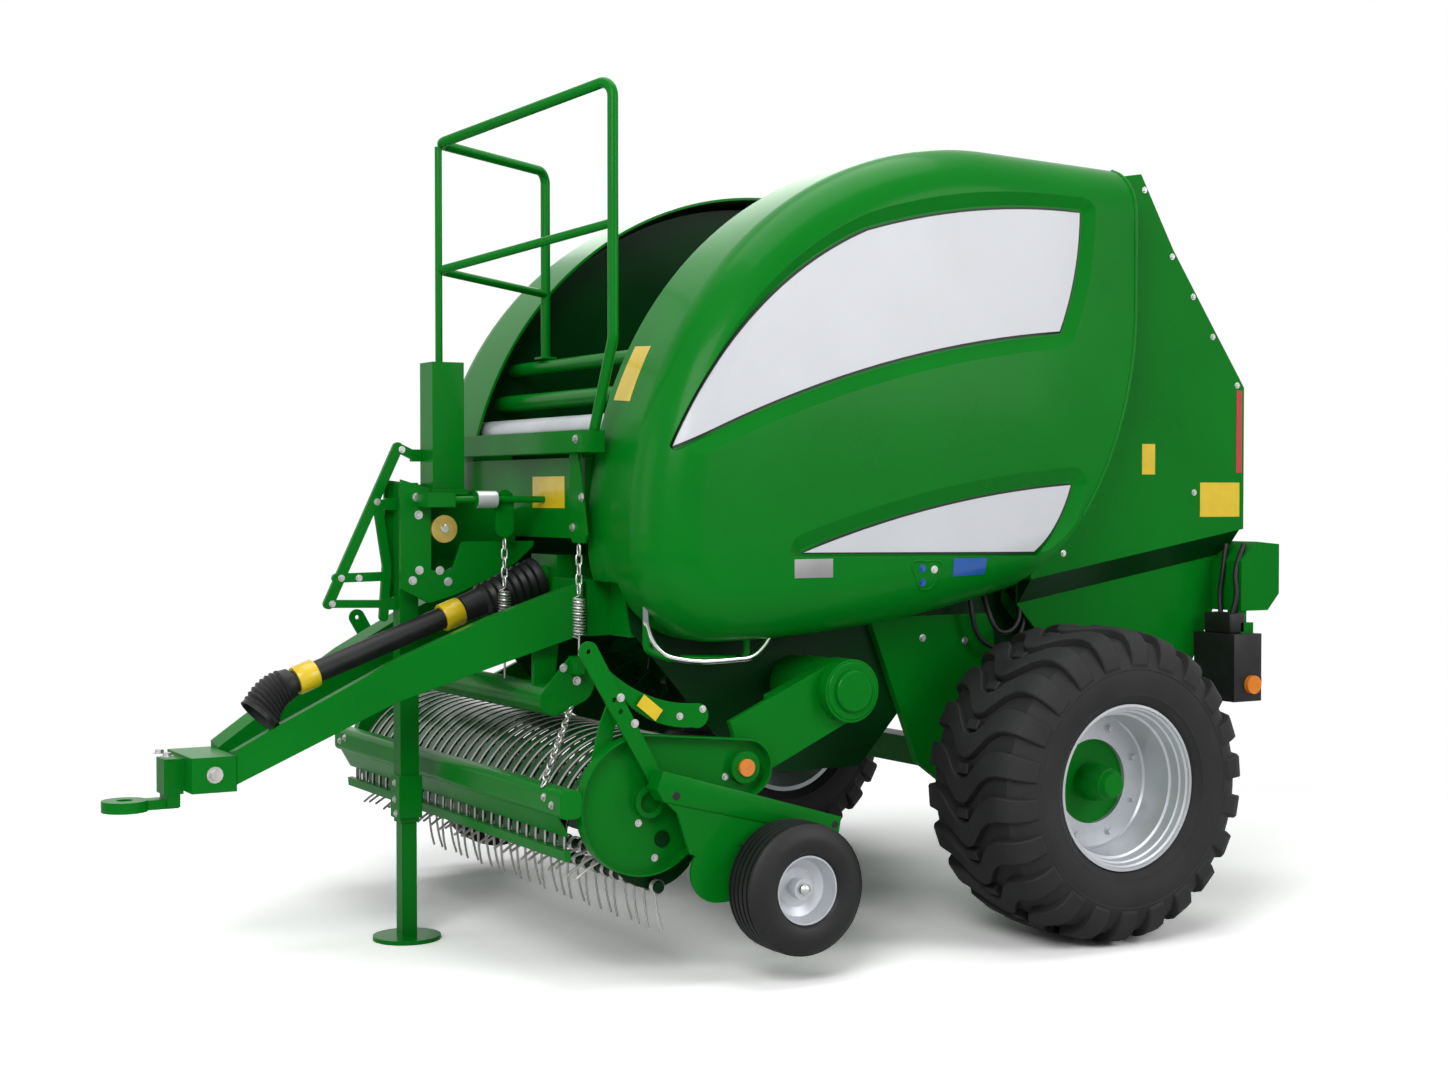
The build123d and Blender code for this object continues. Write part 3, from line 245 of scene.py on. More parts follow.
floorBlend = floorNodes.new("ShaderNodeMixShader")
floorLinks.new(floorFade.outputs["Result"], floorBlend.inputs[0])
floorLinks.new(paleFloor.outputs[0], floorBlend.inputs[1])
floorLinks.new(farFloor.outputs[0], floorBlend.inputs[2])
floorLinks.new(floorBlend.outputs[0], floorPick.inputs[2])
floorLinks.new(floorPick.outputs[0], floorNodes["Material Output"].inputs[0])
floorData.materials.append(floorPaint)

# making pieces
axleX = (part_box("tyre_left")[0].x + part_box("tyre_left")[1].x) / 2


def spot(x, y, z):  # a place measured from the middle of the main axle
    return Vector((x + axleX, y, z))


def handed(place, hand):  # the same place, mirrored to the right side when hand is -1
    return spot(place[0], place[1] * hand, place[2])


def addPiece(name, mesh, finish, body, sharp=32):  # the mesh becomes a finished piece riding on a body
    bmesh.ops.recalc_face_normals(mesh, faces=mesh.faces)
    data = bpy.data.meshes.new(name)
    mesh.to_mesh(data)
    mesh.free()
    data.shade_smooth()
    data.set_sharp_from_angle(angle=math.radians(sharp))
    data.materials.append(materials[finish])
    piece = bpy.data.objects.new(name, data)
    bpy.context.scene.collection.objects.link(piece)
    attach(piece, body)
    return piece


def spinOutline(mesh, outline, centre, axis, steps, closed=True):  # outline: (along the axis, radius)
    axis = Vector(axis).normalized()
    side = axis.orthogonal().normalized()
    ring = [mesh.verts.new(Vector(centre) + axis * along + side * radius) for along, radius in outline]
    edges = [mesh.edges.new(pair) for pair in zip(ring, ring[1:])]
    if closed:
        edges.append(mesh.edges.new((ring[-1], ring[0])))
    bmesh.ops.spin(mesh, geom=ring + edges, cent=centre, axis=axis, dvec=(0, 0, 0), angle=math.tau,
                   steps=steps, use_merge=True)
    bmesh.ops.remove_doubles(mesh, verts=mesh.verts, dist=1e-5)


def stamp(mesh, pattern, matrix):  # one more copy of a pattern
    before = len(mesh.verts)
    mesh.from_mesh(pattern)
    mesh.verts.ensure_lookup_table()
    bmesh.ops.transform(mesh, matrix=matrix, verts=mesh.verts[before:])


def facing(place, normal, up=(0, 0, 1)):  # a matrix whose z is the normal and whose y leans to up
    normal = Vector(normal).normalized()
    across = Vector(up).cross(normal)
    if across.length < 1e-4:
        across = Vector((1, 0, 0))
    across.normalize()
    turn = Matrix((across, normal.cross(across), normal)).transposed().to_4x4()
    return Matrix.Translation(place) @ turn


def asPattern(name, mesh):
    data = bpy.data.meshes.new(name)
    mesh.to_mesh(data)
    mesh.free()
    return data


def tubeShape(points, radius, smooth=True, sides=2):  # a capped round tube through the points
    path = bpy.data.curves.new("path", "CURVE")
    path.dimensions = "3D"
    path.bevel_depth = radius
    path.bevel_resolution = sides
    path.resolution_u = 5
    path.use_fill_caps = True
    line = path.splines.new("BEZIER" if smooth else "POLY")
    stops = line.bezier_points if smooth else line.points
    stops.add(len(points) - 1)
    for stop, point in zip(stops, points):
        stop.co = Vector(point) if smooth else (*point, 1)
        if smooth:
            stop.handle_left_type = stop.handle_right_type = "AUTO"
    holder = bpy.data.objects.new("path", path)
    bpy.context.scene.collection.objects.link(holder)
    bpy.context.view_layer.update()
    data = bpy.data.meshes.new_from_object(holder.evaluated_get(bpy.context.evaluated_depsgraph_get()))
    bpy.data.objects.remove(holder)
    bpy.data.curves.remove(path)
    return data


def addBlock(mesh, matrix, size):  # a box about the matrix's place
    bmesh.ops.create_cube(mesh, size=1, matrix=matrix @ Matrix.Diagonal((*size, 1)))


def roundEdges(mesh, edges, size, parts=2):
    bmesh.ops.bevel(mesh, geom=edges, offset=size, affect="EDGES", segments=parts, profile=0.5, material=-1)


def pushOut(mesh, faces, step):  # faces extruded, and the new ones moved by step
    grown = bmesh.ops.extrude_face_region(mesh, geom=faces)
    newVerts = [item for item in grown["geom"] if isinstance(item, bmesh.types.BMVert)]
    bmesh.ops.translate(mesh, vec=step, verts=newVerts)


def onSkin(node, place):  # the nearest place on a solid's skin, and the normal there
    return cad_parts[node].closest_point_on_mesh(place)[1:3]


still = Matrix.Identity(4)
sides = (("left", 1), ("right", -1))


# main tyres
mainTyre = {"middle": (0, 1.051, 0.520), "steps": 96, "lugs": 22, "lugWidth": 0.076, "lugDraft": 1.16,
            "lugToe": 0.965, "lugEdge": 0.004, "leadIn": 0.497, "buttonEdge": 0.003, "buttonHalf": 0.028,
            "buttonWidth": 0.040, "button": (0.484, 0.514)}
# half of the section: (across, radius), with two moulded ribs on the side wall
tyreWall = [(0.200, 0.2625), (0.203, 0.272), (0.216, 0.278), (0.226, 0.290), (0.233, 0.300), (0.2365, 0.302),
            (0.2375, 0.309), (0.2385, 0.312), (0.2440, 0.330), (0.2475, 0.350), (0.2480, 0.372),
            (0.2455, 0.384), (0.2475, 0.388), (0.2450, 0.396), (0.2340, 0.425), (0.2150, 0.455), (0.190, 0.476),
            (0.120, 0.487), (0.040, 0.490)]
# stations of one lug: across, lead around the tread, and the inner and outer radius
lugRun = [(0.000, 0.000, 0.484, 0.5180), (0.030, 0.010, 0.484, 0.5180), (0.060, 0.040, 0.483, 0.5175),
          (0.095, 0.076, 0.481, 0.5160), (0.130, 0.096, 0.478, 0.5135), (0.165, 0.102, 0.470, 0.5090),
          (0.198, 0.101, 0.452, 0.4990), (0.228, 0.098, 0.430, 0.4760), (0.2455, 0.096, 0.405, 0.4400),
          (0.2495, 0.095, 0.385, 0.4050)]


def lugRing(mesh, across, lead, inner, outer, width):
    ring = []
    foot, crest = (inner, width * mainTyre["lugDraft"] / 2, mainTyre["lugToe"]), (outer, width / 2, 1)
    for radius, half, reach in (foot, crest):
        for turn in ((-half, half) if radius == inner else (half, -half)):
            angle = (lead + turn) / mainTyre["leadIn"]
            ring.append(mesh.verts.new((radius * math.cos(angle), across * reach, radius * math.sin(angle))))
    return ring


def lugShape():
    mesh = bmesh.new()
    run = [(-across, lead, inner, outer) for across, lead, inner, outer in lugRun[:0:-1]] + lugRun
    rings = [lugRing(mesh, *station, mainTyre["lugWidth"]) for station in run]
    loops = [[mesh.edges.new((ring[k], ring[(k + 1) % 4])) for k in range(4)] for ring in rings]
    for near, far in zip(loops, loops[1:]):
        bmesh.ops.bridge_loops(mesh, edges=near + far)
    for ring in (rings[0], rings[-1]):
        mesh.faces.new(ring)
    bmesh.ops.recalc_face_normals(mesh, faces=mesh.faces)
    crest = [edge for near, far in zip(rings, rings[1:]) for k in (2, 3)
             for edge in near[k].link_edges if far[k] in edge.verts]
    roundEdges(mesh, crest, mainTyre["lugEdge"], 1)
    return asPattern("lug", mesh)


def buttonShape():  # the small block inside each chevron
    mesh = bmesh.new()
    lead = math.tau * mainTyre["leadIn"] / mainTyre["lugs"] * 0.50
    width = mainTyre["buttonWidth"] - mainTyre["buttonHalf"] * 0.3
    rings = [lugRing(mesh, across, lead, *mainTyre["button"], width)
             for across in (-mainTyre["buttonHalf"], mainTyre["buttonHalf"])]
    loops = [[mesh.edges.new((ring[k], ring[(k + 1) % 4])) for k in range(4)] for ring in rings]
    bmesh.ops.bridge_loops(mesh, edges=loops[0] + loops[1])
    for ring in rings:
        mesh.faces.new(ring)
    roundEdges(mesh, mesh.edges[:], mainTyre["buttonEdge"], 1)
    return asPattern("button", mesh)


lug, button = lugShape(), buttonShape()
for side, hand in sides:
    centre = handed(mainTyre["middle"], hand)
    tread = bmesh.new()
    section = tyreWall + [(-across, radius) for across, radius in reversed(tyreWall)]
    spinOutline(tread, section, centre, (0, 1, 0), mainTyre["steps"])
    for step in range(mainTyre["lugs"]):
        turn = Matrix.Rotation(-math.tau * step / mainTyre["lugs"], 4, "Y")
        for pattern in (lug, button):
            stamp(tread, pattern, Matrix.Translation(centre) @ turn)
    tyre = addPiece("tyreTread_" + side, tread, "tyreRubber", "wheel_" + side, sharp=28)
    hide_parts("tyre_" + side)
print("main tyres made")

# main rims
mainRim = {"steps": 96, "studCircle": 0.185, "studs": 8, "studRadius": 0.011, "studHeight": 0.012,
           "studWasher": 0.016, "discFace": 0.033}
# barrel and disc: (across from the wheel's middle, radius)
rimOutline = [(0.215, 0.2715), (0.2155, 0.2625), (0.2080, 0.2600), (0.2040, 0.2540), (0.1850, 0.2500),
              (0.1830, 0.2440), (0.1500, 0.2400), (0.1470, 0.2320), (0.0850, 0.2260), (0.0400, 0.2240),
              (0.0330, 0.2180), (0.0330, 0.1400), (0.0170, 0.1400), (0.0170, 0.2180), (0.0100, 0.2240),
              (-0.1500, 0.2400), (-0.2155, 0.2540), (-0.2150, 0.2715), (-0.2002, 0.2715), (-0.2000, 0.2618),
              (0.2000, 0.2618), (0.2002, 0.2715)]
washerThick = 0.0018


def boltShape(radius, height, washer):  # hexagon head on a washer, standing on z = 0
    mesh = bmesh.new()
    bmesh.ops.create_cone(mesh, cap_ends=True, segments=12, radius1=washer, radius2=washer, depth=washerThick,
                          matrix=Matrix.Translation((0, 0, washerThick / 2)))
    bmesh.ops.create_cone(mesh, cap_ends=True, segments=6, radius1=radius, radius2=radius * 0.94,
                          depth=height, matrix=Matrix.Translation((0, 0, height / 2 + washerThick)))
    return asPattern("bolt", mesh)


for side, hand in sides:
    centre = handed(mainTyre["middle"], hand)
    barrel = bmesh.new()
    spinOutline(barrel, rimOutline, centre, (0, hand, 0), mainRim["steps"])
    stud = boltShape(mainRim["studRadius"], mainRim["studHeight"], mainRim["studWasher"])
    for step in range(mainRim["studs"]):
        angle = math.tau * (step + 0.5) / mainRim["studs"]
        away = Vector((math.cos(angle), 0, math.sin(angle))) * mainRim["studCircle"]
        away.y = mainRim["discFace"] * hand
        stamp(barrel, stud, facing(centre + away, (0, hand, 0)))
    rim = addPiece("steppedRim_" + side, barrel, "silverPaint", "wheel_" + side, sharp=24)
    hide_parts("rim_" + side)
print("main rims made")

# gauge wheels
gauge = {"middle": (1.186, 1.131, 0.288), "steps": 72, "grooves": (-0.048, -0.024, 0.0, 0.024, 0.048),
         "grooveHalf": 0.0035, "grooveDepth": 0.008, "crown": 0.202, "capSink": 0.014}
gaugeWall = [(0.0640, 0.1045), (0.0680, 0.1075), (0.0755, 0.1130), (0.0800, 0.1240), (0.0822, 0.1380),
             (0.0828, 0.1520), (0.0800, 0.1660), (0.0740, 0.1800), (0.0680, 0.1920), (0.0620, 0.1990)]
gaugeTread = []
for groove in reversed(gauge["grooves"]):
    half, crown = gauge["grooveHalf"], gauge["crown"] - 0.03 * abs(groove)
    low = crown - gauge["grooveDepth"]
    gaugeTread += [(groove + half + 0.001, crown), (groove + half, low), (groove - half, low),
                   (groove - half - 0.001, crown)]
# the shining cap on the hub: (along the axle, radius)
gaugeCap = [(0.0, 0.0), (0.0, 0.017), (0.004, 0.0175), (0.010, 0.0125), (0.013, 0.006), (0.0135, 0.0)]
for side, hand in sides:
    centre = handed(gauge["middle"], hand)
    ribbed = bmesh.new()
    section = gaugeWall + gaugeTread + [(-across, radius) for across, radius in reversed(gaugeWall)]
    spinOutline(ribbed, section, centre, (0, 1, 0), gauge["steps"])
    tyre = addPiece("ribbedTyre_" + side, ribbed, "wheelRubber", "gauge_wheel_" + side, sharp=30)
    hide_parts("gauge_tyre_" + side)
    cap = bmesh.new()
    outer = abs(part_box("gauge_rim_" + side)[1 if hand > 0 else 0].y)
    capPlace = (gauge["middle"][0], outer - gauge["capSink"], gauge["middle"][2])
    spinOutline(cap, gaugeCap, handed(capPlace, hand), (0, hand, 0), 24, closed=False)
    addPiece("gaugeCap_" + side, cap, "brightZinc", "gauge_wheel_" + side)
print("gauge wheels made")

# pickup reel
reel = {"middle": (1.540, 0.0, 0.435), "tube": 0.050, "stub": 0.025, "half": 0.924, "stubHalf": 0.9415,
        "barCircle": 0.150, "barRadius": 0.017, "bars": 5, "tip": 0.290, "tineRadius": 0.0043, "tines": 28,
        "pitch": 0.067, "discs": (-0.880, 0.0, 0.880), "discRim": 0.008, "discThick": 0.008, "barLength": 1.84,
        "coil": 0.0235, "coilTurns": (-0.007, 0.0, 0.007), "coilHalf": 0.0035, "coilDip": 0.003,
        "lean": 3.5}
reelMesh = bmesh.new()
centre = spot(*reel["middle"])
reelTube = [(-reel["stubHalf"], 0), (-reel["stubHalf"], reel["stub"]), (-reel["half"], reel["stub"]),
            (-reel["half"], reel["tube"]), (reel["half"], reel["tube"]), (reel["half"], reel["stub"]),
            (reel["stubHalf"], reel["stub"]), (reel["stubHalf"], 0)]
spinOutline(reelMesh, reelTube, centre, (0, 1, 0), 32, closed=False)
discRadius = reel["barCircle"] + reel["discRim"]
for across in reel["discs"]:
    bmesh.ops.create_cone(reelMesh, cap_ends=True, segments=48, radius1=discRadius, radius2=discRadius,
                          depth=reel["discThick"], matrix=facing(centre + Vector((0, across, 0)), (0, 1, 0)))
for step in range(reel["bars"]):
    angle = -math.pi / 2 + math.tau * step / reel["bars"]
    away = Vector((math.cos(angle), 0, math.sin(angle))) * reel["barCircle"]
    bmesh.ops.create_cone(reelMesh, cap_ends=True, segments=20, radius1=reel["barRadius"],
                          radius2=reel["barRadius"], depth=reel["barLength"],
                          matrix=facing(centre + away, (0, 1, 0)))
# the reel frame takes the green with painted shade
frameReel = addPiece("reelFrame", reelMesh, "paintedShadeGreen", "pickup_reel")
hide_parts("pickup_reel")

reach = reel["tip"] - reel["barCircle"]
# a tine's bend: place along it, and how far it lies ahead
tineRun = [(0.0, 0, 0.010), (0.4 * reach, 0, 0.006), (0.75 * reach, 0, -0.002), (reach - 0.001, 0, -0.011)]
tine = tubeShape(tineRun, reel["tineRadius"], sides=1)
coilMesh = bmesh.new()
coilDip = reel["coil"] - reel["coilDip"]
for turn in reel["coilTurns"]:  # each turn is a pair of cones, crest outwards
    for shift, near, far in ((-0.5, coilDip, reel["coil"]), (0.5, reel["coil"], coilDip)):
        bmesh.ops.create_cone(coilMesh, cap_ends=False, segments=12, radius1=near, radius2=far,
                              depth=reel["coilHalf"],
                              matrix=facing((0, turn + shift * reel["coilHalf"], 0), (0, 1, 0)))
coil = asPattern("coil", coilMesh)
tineMesh = bmesh.new()
for step in range(reel["bars"]):
    angle = -math.pi / 2 + math.tau * step / reel["bars"]
    turn = Matrix.Rotation(-angle, 4, "Y")
    for number in range(reel["tines"]):
        across = (number - (reel["tines"] - 1) / 2) * reel["pitch"]
        lean = Matrix.Rotation(math.radians(reel["lean"] * math.sin(number * 2.4 + step)), 4, "Y")
        base = Matrix.Translation(centre + Vector((0, across, 0))) @ turn
        base = base @ Matrix.Translation((reel["barCircle"], 0, 0))
        stamp(tineMesh, tine, base @ lean)
        stamp(tineMesh, coil, base)
addPiece("reelTines", tineMesh, "springSteel", "pickup_reel")
print("pickup reel made")

# chains and springs
chain = {"length": 0.044, "width": 0.026, "wire": 0.0035, "pitch": 0.031, "springRadius": 0.0195,
         "springWire": 0.0025, "springTurns": 13, "springLap": 0.008, "hookWire": 0.004, "links": 5,
         "slack": ((1.893, 0.850, 0.6066), (1.630, 0.500, 0.800)), "slackLinks": 15}
# x, y, then the heights of the chain's top, the spring's top, the spring's end and the hook's end
hangerRuns = ((1.709, 0.160, 1.3297, 1.1627, 1.0267, 0.868), (1.610, 0.515, 1.3177, 1.1507, 1.0147, 0.962))


def linkShape():  # a ring pulled out into a long link
    mesh = bmesh.new()
    bend = chain["width"] / 2 - chain["wire"]
    drawn = bmesh.ops.create_circle(mesh, segments=8, radius=chain["wire"],
                                    matrix=facing((bend, 0, 0), (0, 1, 0), up=(0, 0, 1)))
    bmesh.ops.spin(mesh, geom=drawn["verts"] + mesh.edges[:], cent=(0, 0, 0), axis=(0, 0, 1), dvec=(0, 0, 0),
                   angle=math.tau, steps=16, use_merge=True)
    bmesh.ops.remove_doubles(mesh, verts=mesh.verts, dist=1e-5)
    pull = chain["length"] / 2 - chain["width"] / 2
    for vert in mesh.verts:
        if abs(vert.co.x) > 1e-4:
            vert.co.x += math.copysign(pull, vert.co.x)
    return asPattern("link", mesh)


link = linkShape()


def hangChain(mesh, start, end, count):  # links pulled straight, each turned a quarter from the last
    along = (end - start).normalized()
    across = along.cross(Vector((0, 1, 0.2))).normalized()
    for number in range(count):
        middle = start + along * (chain["length"] / 2 + number * chain["pitch"])
        normal = Matrix.Rotation(math.pi / 2 * (number % 2), 3, along) @ across
        turn = Matrix((along, normal.cross(along), normal)).transposed().to_4x4()
        stamp(mesh, link, Matrix.Translation(middle) @ turn)


def springPath(x, y, top, bottom):
    steps = 12 * chain["springTurns"]
    path = [(x, y, top)]
    sweep, lap = chain["springRadius"], chain["springLap"]
    for step in range(steps + 1):
        angle = math.tau * step / 12
        path.append((x + sweep * math.cos(angle), y + sweep * math.sin(angle),
                     top - lap + (bottom - top + 2 * lap) * step / steps))
    return path + [(x, y, bottom)]


hangers = bmesh.new()
for x, y, top, springTop, springEnd, bottom in hangerRuns:
    hangChain(hangers, spot(x, y, top), spot(x, y, springTop), chain["links"])
    coilPath = [spot(*place) for place in springPath(x, y, springTop, springEnd)]
    stamp(hangers, tubeShape(coilPath, chain["springWire"], smooth=False, sides=1), still)
    hook = [spot(x, y, springEnd + 0.010), spot(x, y, bottom)]
    stamp(hangers, tubeShape(hook, chain["hookWire"], smooth=False), still)
lifters = addPiece("hangingChains", hangers, "brightZinc", "root", sharp=50)
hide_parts("lift_chains")
slack = bmesh.new()
hangChain(slack, *(spot(*place) for place in chain["slack"]), chain["slackLinks"])
guardChain = addPiece("guardChain", slack, "brightZinc", "pickup", sharp=50)
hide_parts("pickup_chain")
print("chains made")

# power shaft
shaft = {"rear": (1.550, 0.063, 1.192), "front": (2.540, 0.140, 0.840), "steps": 48,
         "collars": ((0.305, 0.375), (0.845, 0.915)), "collarRadii": (0.0360, 0.0440, 0.0462),
         "collarEdge": 0.004, "folds": 7, "bendFrom": 0.955, "bend": 26, "bendOver": 0.1}
rear, front = spot(*shaft["rear"]), spot(*shaft["front"])
along = (front - rear).normalized()


def bellows(start, end, startRadius, endRadius, depth=0.006):  # folds of a rubber boot
    outline = []
    for fold in range(2 * shaft["folds"] + 1):
        part = fold / (2 * shaft["folds"])
        radius = startRadius + (endRadius - startRadius) * part
        outline.append((start + (end - start) * part, radius - (depth if fold % 2 else 0)))
    return outline


# the whole guard: (along the shaft, radius)
guard = [(0.0, 0.030), (0.0, 0.0715)] + bellows(0.012, 0.215, 0.0715, 0.0580)
guard += [(0.225, 0.0480), (0.300, 0.0450), (0.302, 0.0362), (0.930, 0.0362), (0.932, 0.0485), (0.955, 0.0520)]
guard += bellows(0.962, 1.058, 0.0560, 0.0690, 0.0065)
guard += [(1.066, 0.0640), (1.080, 0.0665), (1.079, 0.0600), (1.060, 0.0560), (1.050, 0.030)]
boots = bmesh.new()
spinOutline(boots, guard, rear, along, shaft["steps"], closed=False)
bmesh.ops.holes_fill(boots, edges=boots.edges)
bendAxis = along.cross(Vector((0, 0, 1))).normalized()
hinge = rear + along * shaft["bendFrom"]
for vert in boots.verts:  # the front boot droops over its joint
    past = (vert.co - hinge).dot(along)
    if past > 0:
        droop = Matrix.Rotation(-math.radians(shaft["bend"]) * min(past / shaft["bendOver"], 1), 3, bendAxis)
        vert.co = hinge + droop @ (vert.co - hinge)
boot = addPiece("shaftBoots", boots, "blackPlastic", "root", sharp=40)
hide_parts("power_shaft")
collars = bmesh.new()
inside, shoulder, outside = shaft["collarRadii"]
for start, end in shaft["collars"]:
    flat = (start + shaft["collarEdge"], end - shaft["collarEdge"])
    section = [(start, inside), (start, shoulder), (flat[0], outside), (flat[1], outside), (end, shoulder),
               (end, inside)]
    spinOutline(collars, section, rear, along, shaft["steps"])
addPiece("shaftCollars", collars, "yellowPlate", "root")
print("power shaft made")

# door handles and lamp boxes
handle = {"path": ((1.060, 0.760, 1.016), (1.078, 0.760, 0.990), (1.125, 0.760, 0.956), (1.170, 0.760, 0.9508),
                   (1.395, 0.760, 0.9612), (1.450, 0.760, 0.984), (1.494, 0.760, 1.050), (1.500, 0.760, 1.127)),
          "radius": 0.0125}
lampBox = {"low": (-0.911, 0.7235, 0.729), "high": (-0.7785, 0.9315, 0.9715), "edge": 0.002}
for side, hand in sides:
    grip = bmesh.new()
    route = [handed(place, hand) for place in handle["path"]]
    stamp(grip, tubeShape(route, handle["radius"], sides=4), still)
    addPiece("doorHandle_" + side, grip, "chrome", "door_" + side, sharp=60)
    low, high = spot(*lampBox["low"]), spot(*lampBox["high"])
    middle = (low + high) / 2
    case = bmesh.new()
    addBlock(case, Matrix.Translation((middle.x, middle.y * hand, middle.z)), high - low)
    roundEdges(case, case.edges[:], lampBox["edge"])
    addPiece("lampBox_" + side, case, "blackPlastic", "tailgate")
print("handles and lamp boxes made")

# blank plates
# centre, normal, up, width, height, finish, body
plates = {
    "tailPlateHigh": ((-0.494, 0.7955, 1.596), (0, 1, 0), (0, 0, 1), 0.060, 0.108, "yellowPlate", "tailgate"),
    "tailPlateLow": ((-0.833, 0.7955, 1.452), (0, 1, 0), (0, 0, 1), 0.190, 0.124, "yellowPlate", "tailgate"),
    "tailStrip": ((-0.925, 0.7955, 1.700), (0, 1, 0), (0, 0, 1), 0.028, 0.300, "redLens", "tailgate"),
    "towerPlate": ((1.5705, 0.205, 1.4785), (1, 0, 0), (0, 0, 1), 0.246, 0.104, "yellowPlate", "root"),
    "linkPlate": ((1.606, 0.9845, 0.838), (0, 1, 0), (-0.62, 0, 0.78), 0.080, 0.040, "yellowPlate", "pickup"),
}
plateThick = 0.0012
for name, (place, normal, up, width, height, finish, body) in plates.items():
    plate = bmesh.new()
    lift = Matrix.Translation((0, 0, plateThick / 2))
    addBlock(plate, facing(spot(*place), normal, up) @ lift, (width, height, plateThick))
    addPiece(name, plate, finish, body)
print("plates made:", len(plates))

# bolts
boltShare = {"height": 0.7, "washer": 1.45}  # of the head's radius
# body, mirrored to the far side, head radius, normal, places
boltRows = [
    ("tailgate", True, 0.008, (0, 1, 0), ((-0.709, 0.795, 1.478), (-0.111, 0.795, 1.268),
                                          (-0.470, 0.795, 2.545), (-0.600, 0.795, 2.318),
                                          (-0.700, 0.795, 2.180), (-0.795, 0.795, 2.040),
                                          (-0.915, 0.795, 1.868))),
    ("root", True, 0.009, (0, 1, 0), ((0.383, 0.655, 0.984), (0.206, 0.655, 0.968))),
    ("pickup", True, 0.008, (0, 1, 0), ((1.566, 0.938, 0.380), (1.621, 0.938, 0.489),
                                        (1.321, 0.938, 0.608), (1.499, 0.974, 0.806),
                                        (1.420, 0.974, 0.824))),
    ("pickup", True, 0.009, (0, 1, 0), ((1.703, 0.984, 0.873), (1.656, 0.984, 0.794))),
    ("root", False, 0.008, (1, 0, 0), ((2.020, -0.030, 0.466), (2.020, -0.018, 0.421),
                                       (2.020, -0.030, 0.520))),
    ("pickup", True, 0.009, (1, 0, 0), ((1.895, 0.917, 0.560), (1.895, 0.864, 0.577))),
    ("root", False, 0.008, (0, 1, 0), ((1.994, -0.022, 1.619), (2.081, -0.022, 1.447),
                                       (2.204, -0.022, 1.200), (2.144, -0.022, 1.199),
                                       (2.235, -0.022, 1.117))),
    ("root", False, 0.010, (0, 1, 0), ((1.988, 0.087, 1.462), (1.980, 0.087, 1.405),
                                       (1.978, 0.087, 1.225), (2.001, 0.087, 1.192),
                                       (1.907, 0.087, 1.223), (1.878, 0.087, 1.186))),
    ("root", True, 0.010, (1, 0, 0), ((1.6505, 0.578, 1.645), (1.6145, 0.546, 1.463),
                                      (1.6145, 0.480, 1.367))),
    ("root", True, 0.010, (0, 1, 0), ((1.649, 0.482, 0.922), (1.603, 0.482, 0.879))),
    ("root", True, 0.018, (0, 1, 0), ((2.669, 0.140, 0.610),)),
    ("root", False, 0.014, (0, 0, 1), ((2.790, 0.045, 0.665), (2.790, -0.045, 0.665))),
]
for number, (body, mirrored, radius, normal, places) in enumerate(boltRows):
    heads = bmesh.new()
    head = boltShape(radius, radius * boltShare["height"], radius * boltShare["washer"])
    for place in places:
        for hand in ((1, -1) if mirrored else (1,)):
            outward = (normal[0], normal[1] * hand, normal[2])
            stamp(heads, head, facing(handed(place, hand), outward))
    addPiece("bolts_%02d" % number, heads, "brightZinc", body)
print("bolts made:", len(boltRows), "rows")

# net roller and damper
# start, end, radius, finish
rollers = {"netRoller": ((1.450, -0.614, 1.690), (1.450, 0.614, 1.690), 0.045, "silverPaint"),
           "damperSleeve": ((1.744, 0.172, 1.455), (1.816, 0.172, 1.455), 0.0280, "silverPaint")}
rollerEdge = 0.002
for name, (start, end, radius, finish) in rollers.items():
    start, end = spot(*start), spot(*end)
    length = (end - start).length
    section = [(0, 0), (0, radius - rollerEdge), (rollerEdge, radius), (length - rollerEdge, radius),
               (length, radius - rollerEdge), (length, 0)]
    tube = bmesh.new()
    spinOutline(tube, section, start, end - start, 40, closed=False)
    addPiece(name, tube, finish, "root")
print("rollers made")

# plates and ports laid on the doors' curved skins
skin = {"lift": 0.0012, "thick": 0.0008, "parts": 8}


def laidPlate(node, corners):  # a thin plate that follows the skin under its four corners
    plate = bmesh.new()
    bmesh.ops.create_grid(plate, x_segments=skin["parts"], y_segments=skin["parts"], size=0.5)
    lowFront, lowRear, highFront, highRear = (Vector(corner) for corner in corners)
    for vert in plate.verts:
        across, rise = vert.co.x + 0.5, vert.co.y + 0.5
        place = lowFront.lerp(lowRear, across).lerp(highFront.lerp(highRear, across), rise)
        near, normal = onSkin(node, spot(*place))
        vert.co = near + normal * skin["lift"]
    bmesh.ops.recalc_face_normals(plate, faces=plate.faces)
    bmesh.ops.solidify(plate, geom=plate.faces[:], thickness=skin["thick"])
    return plate


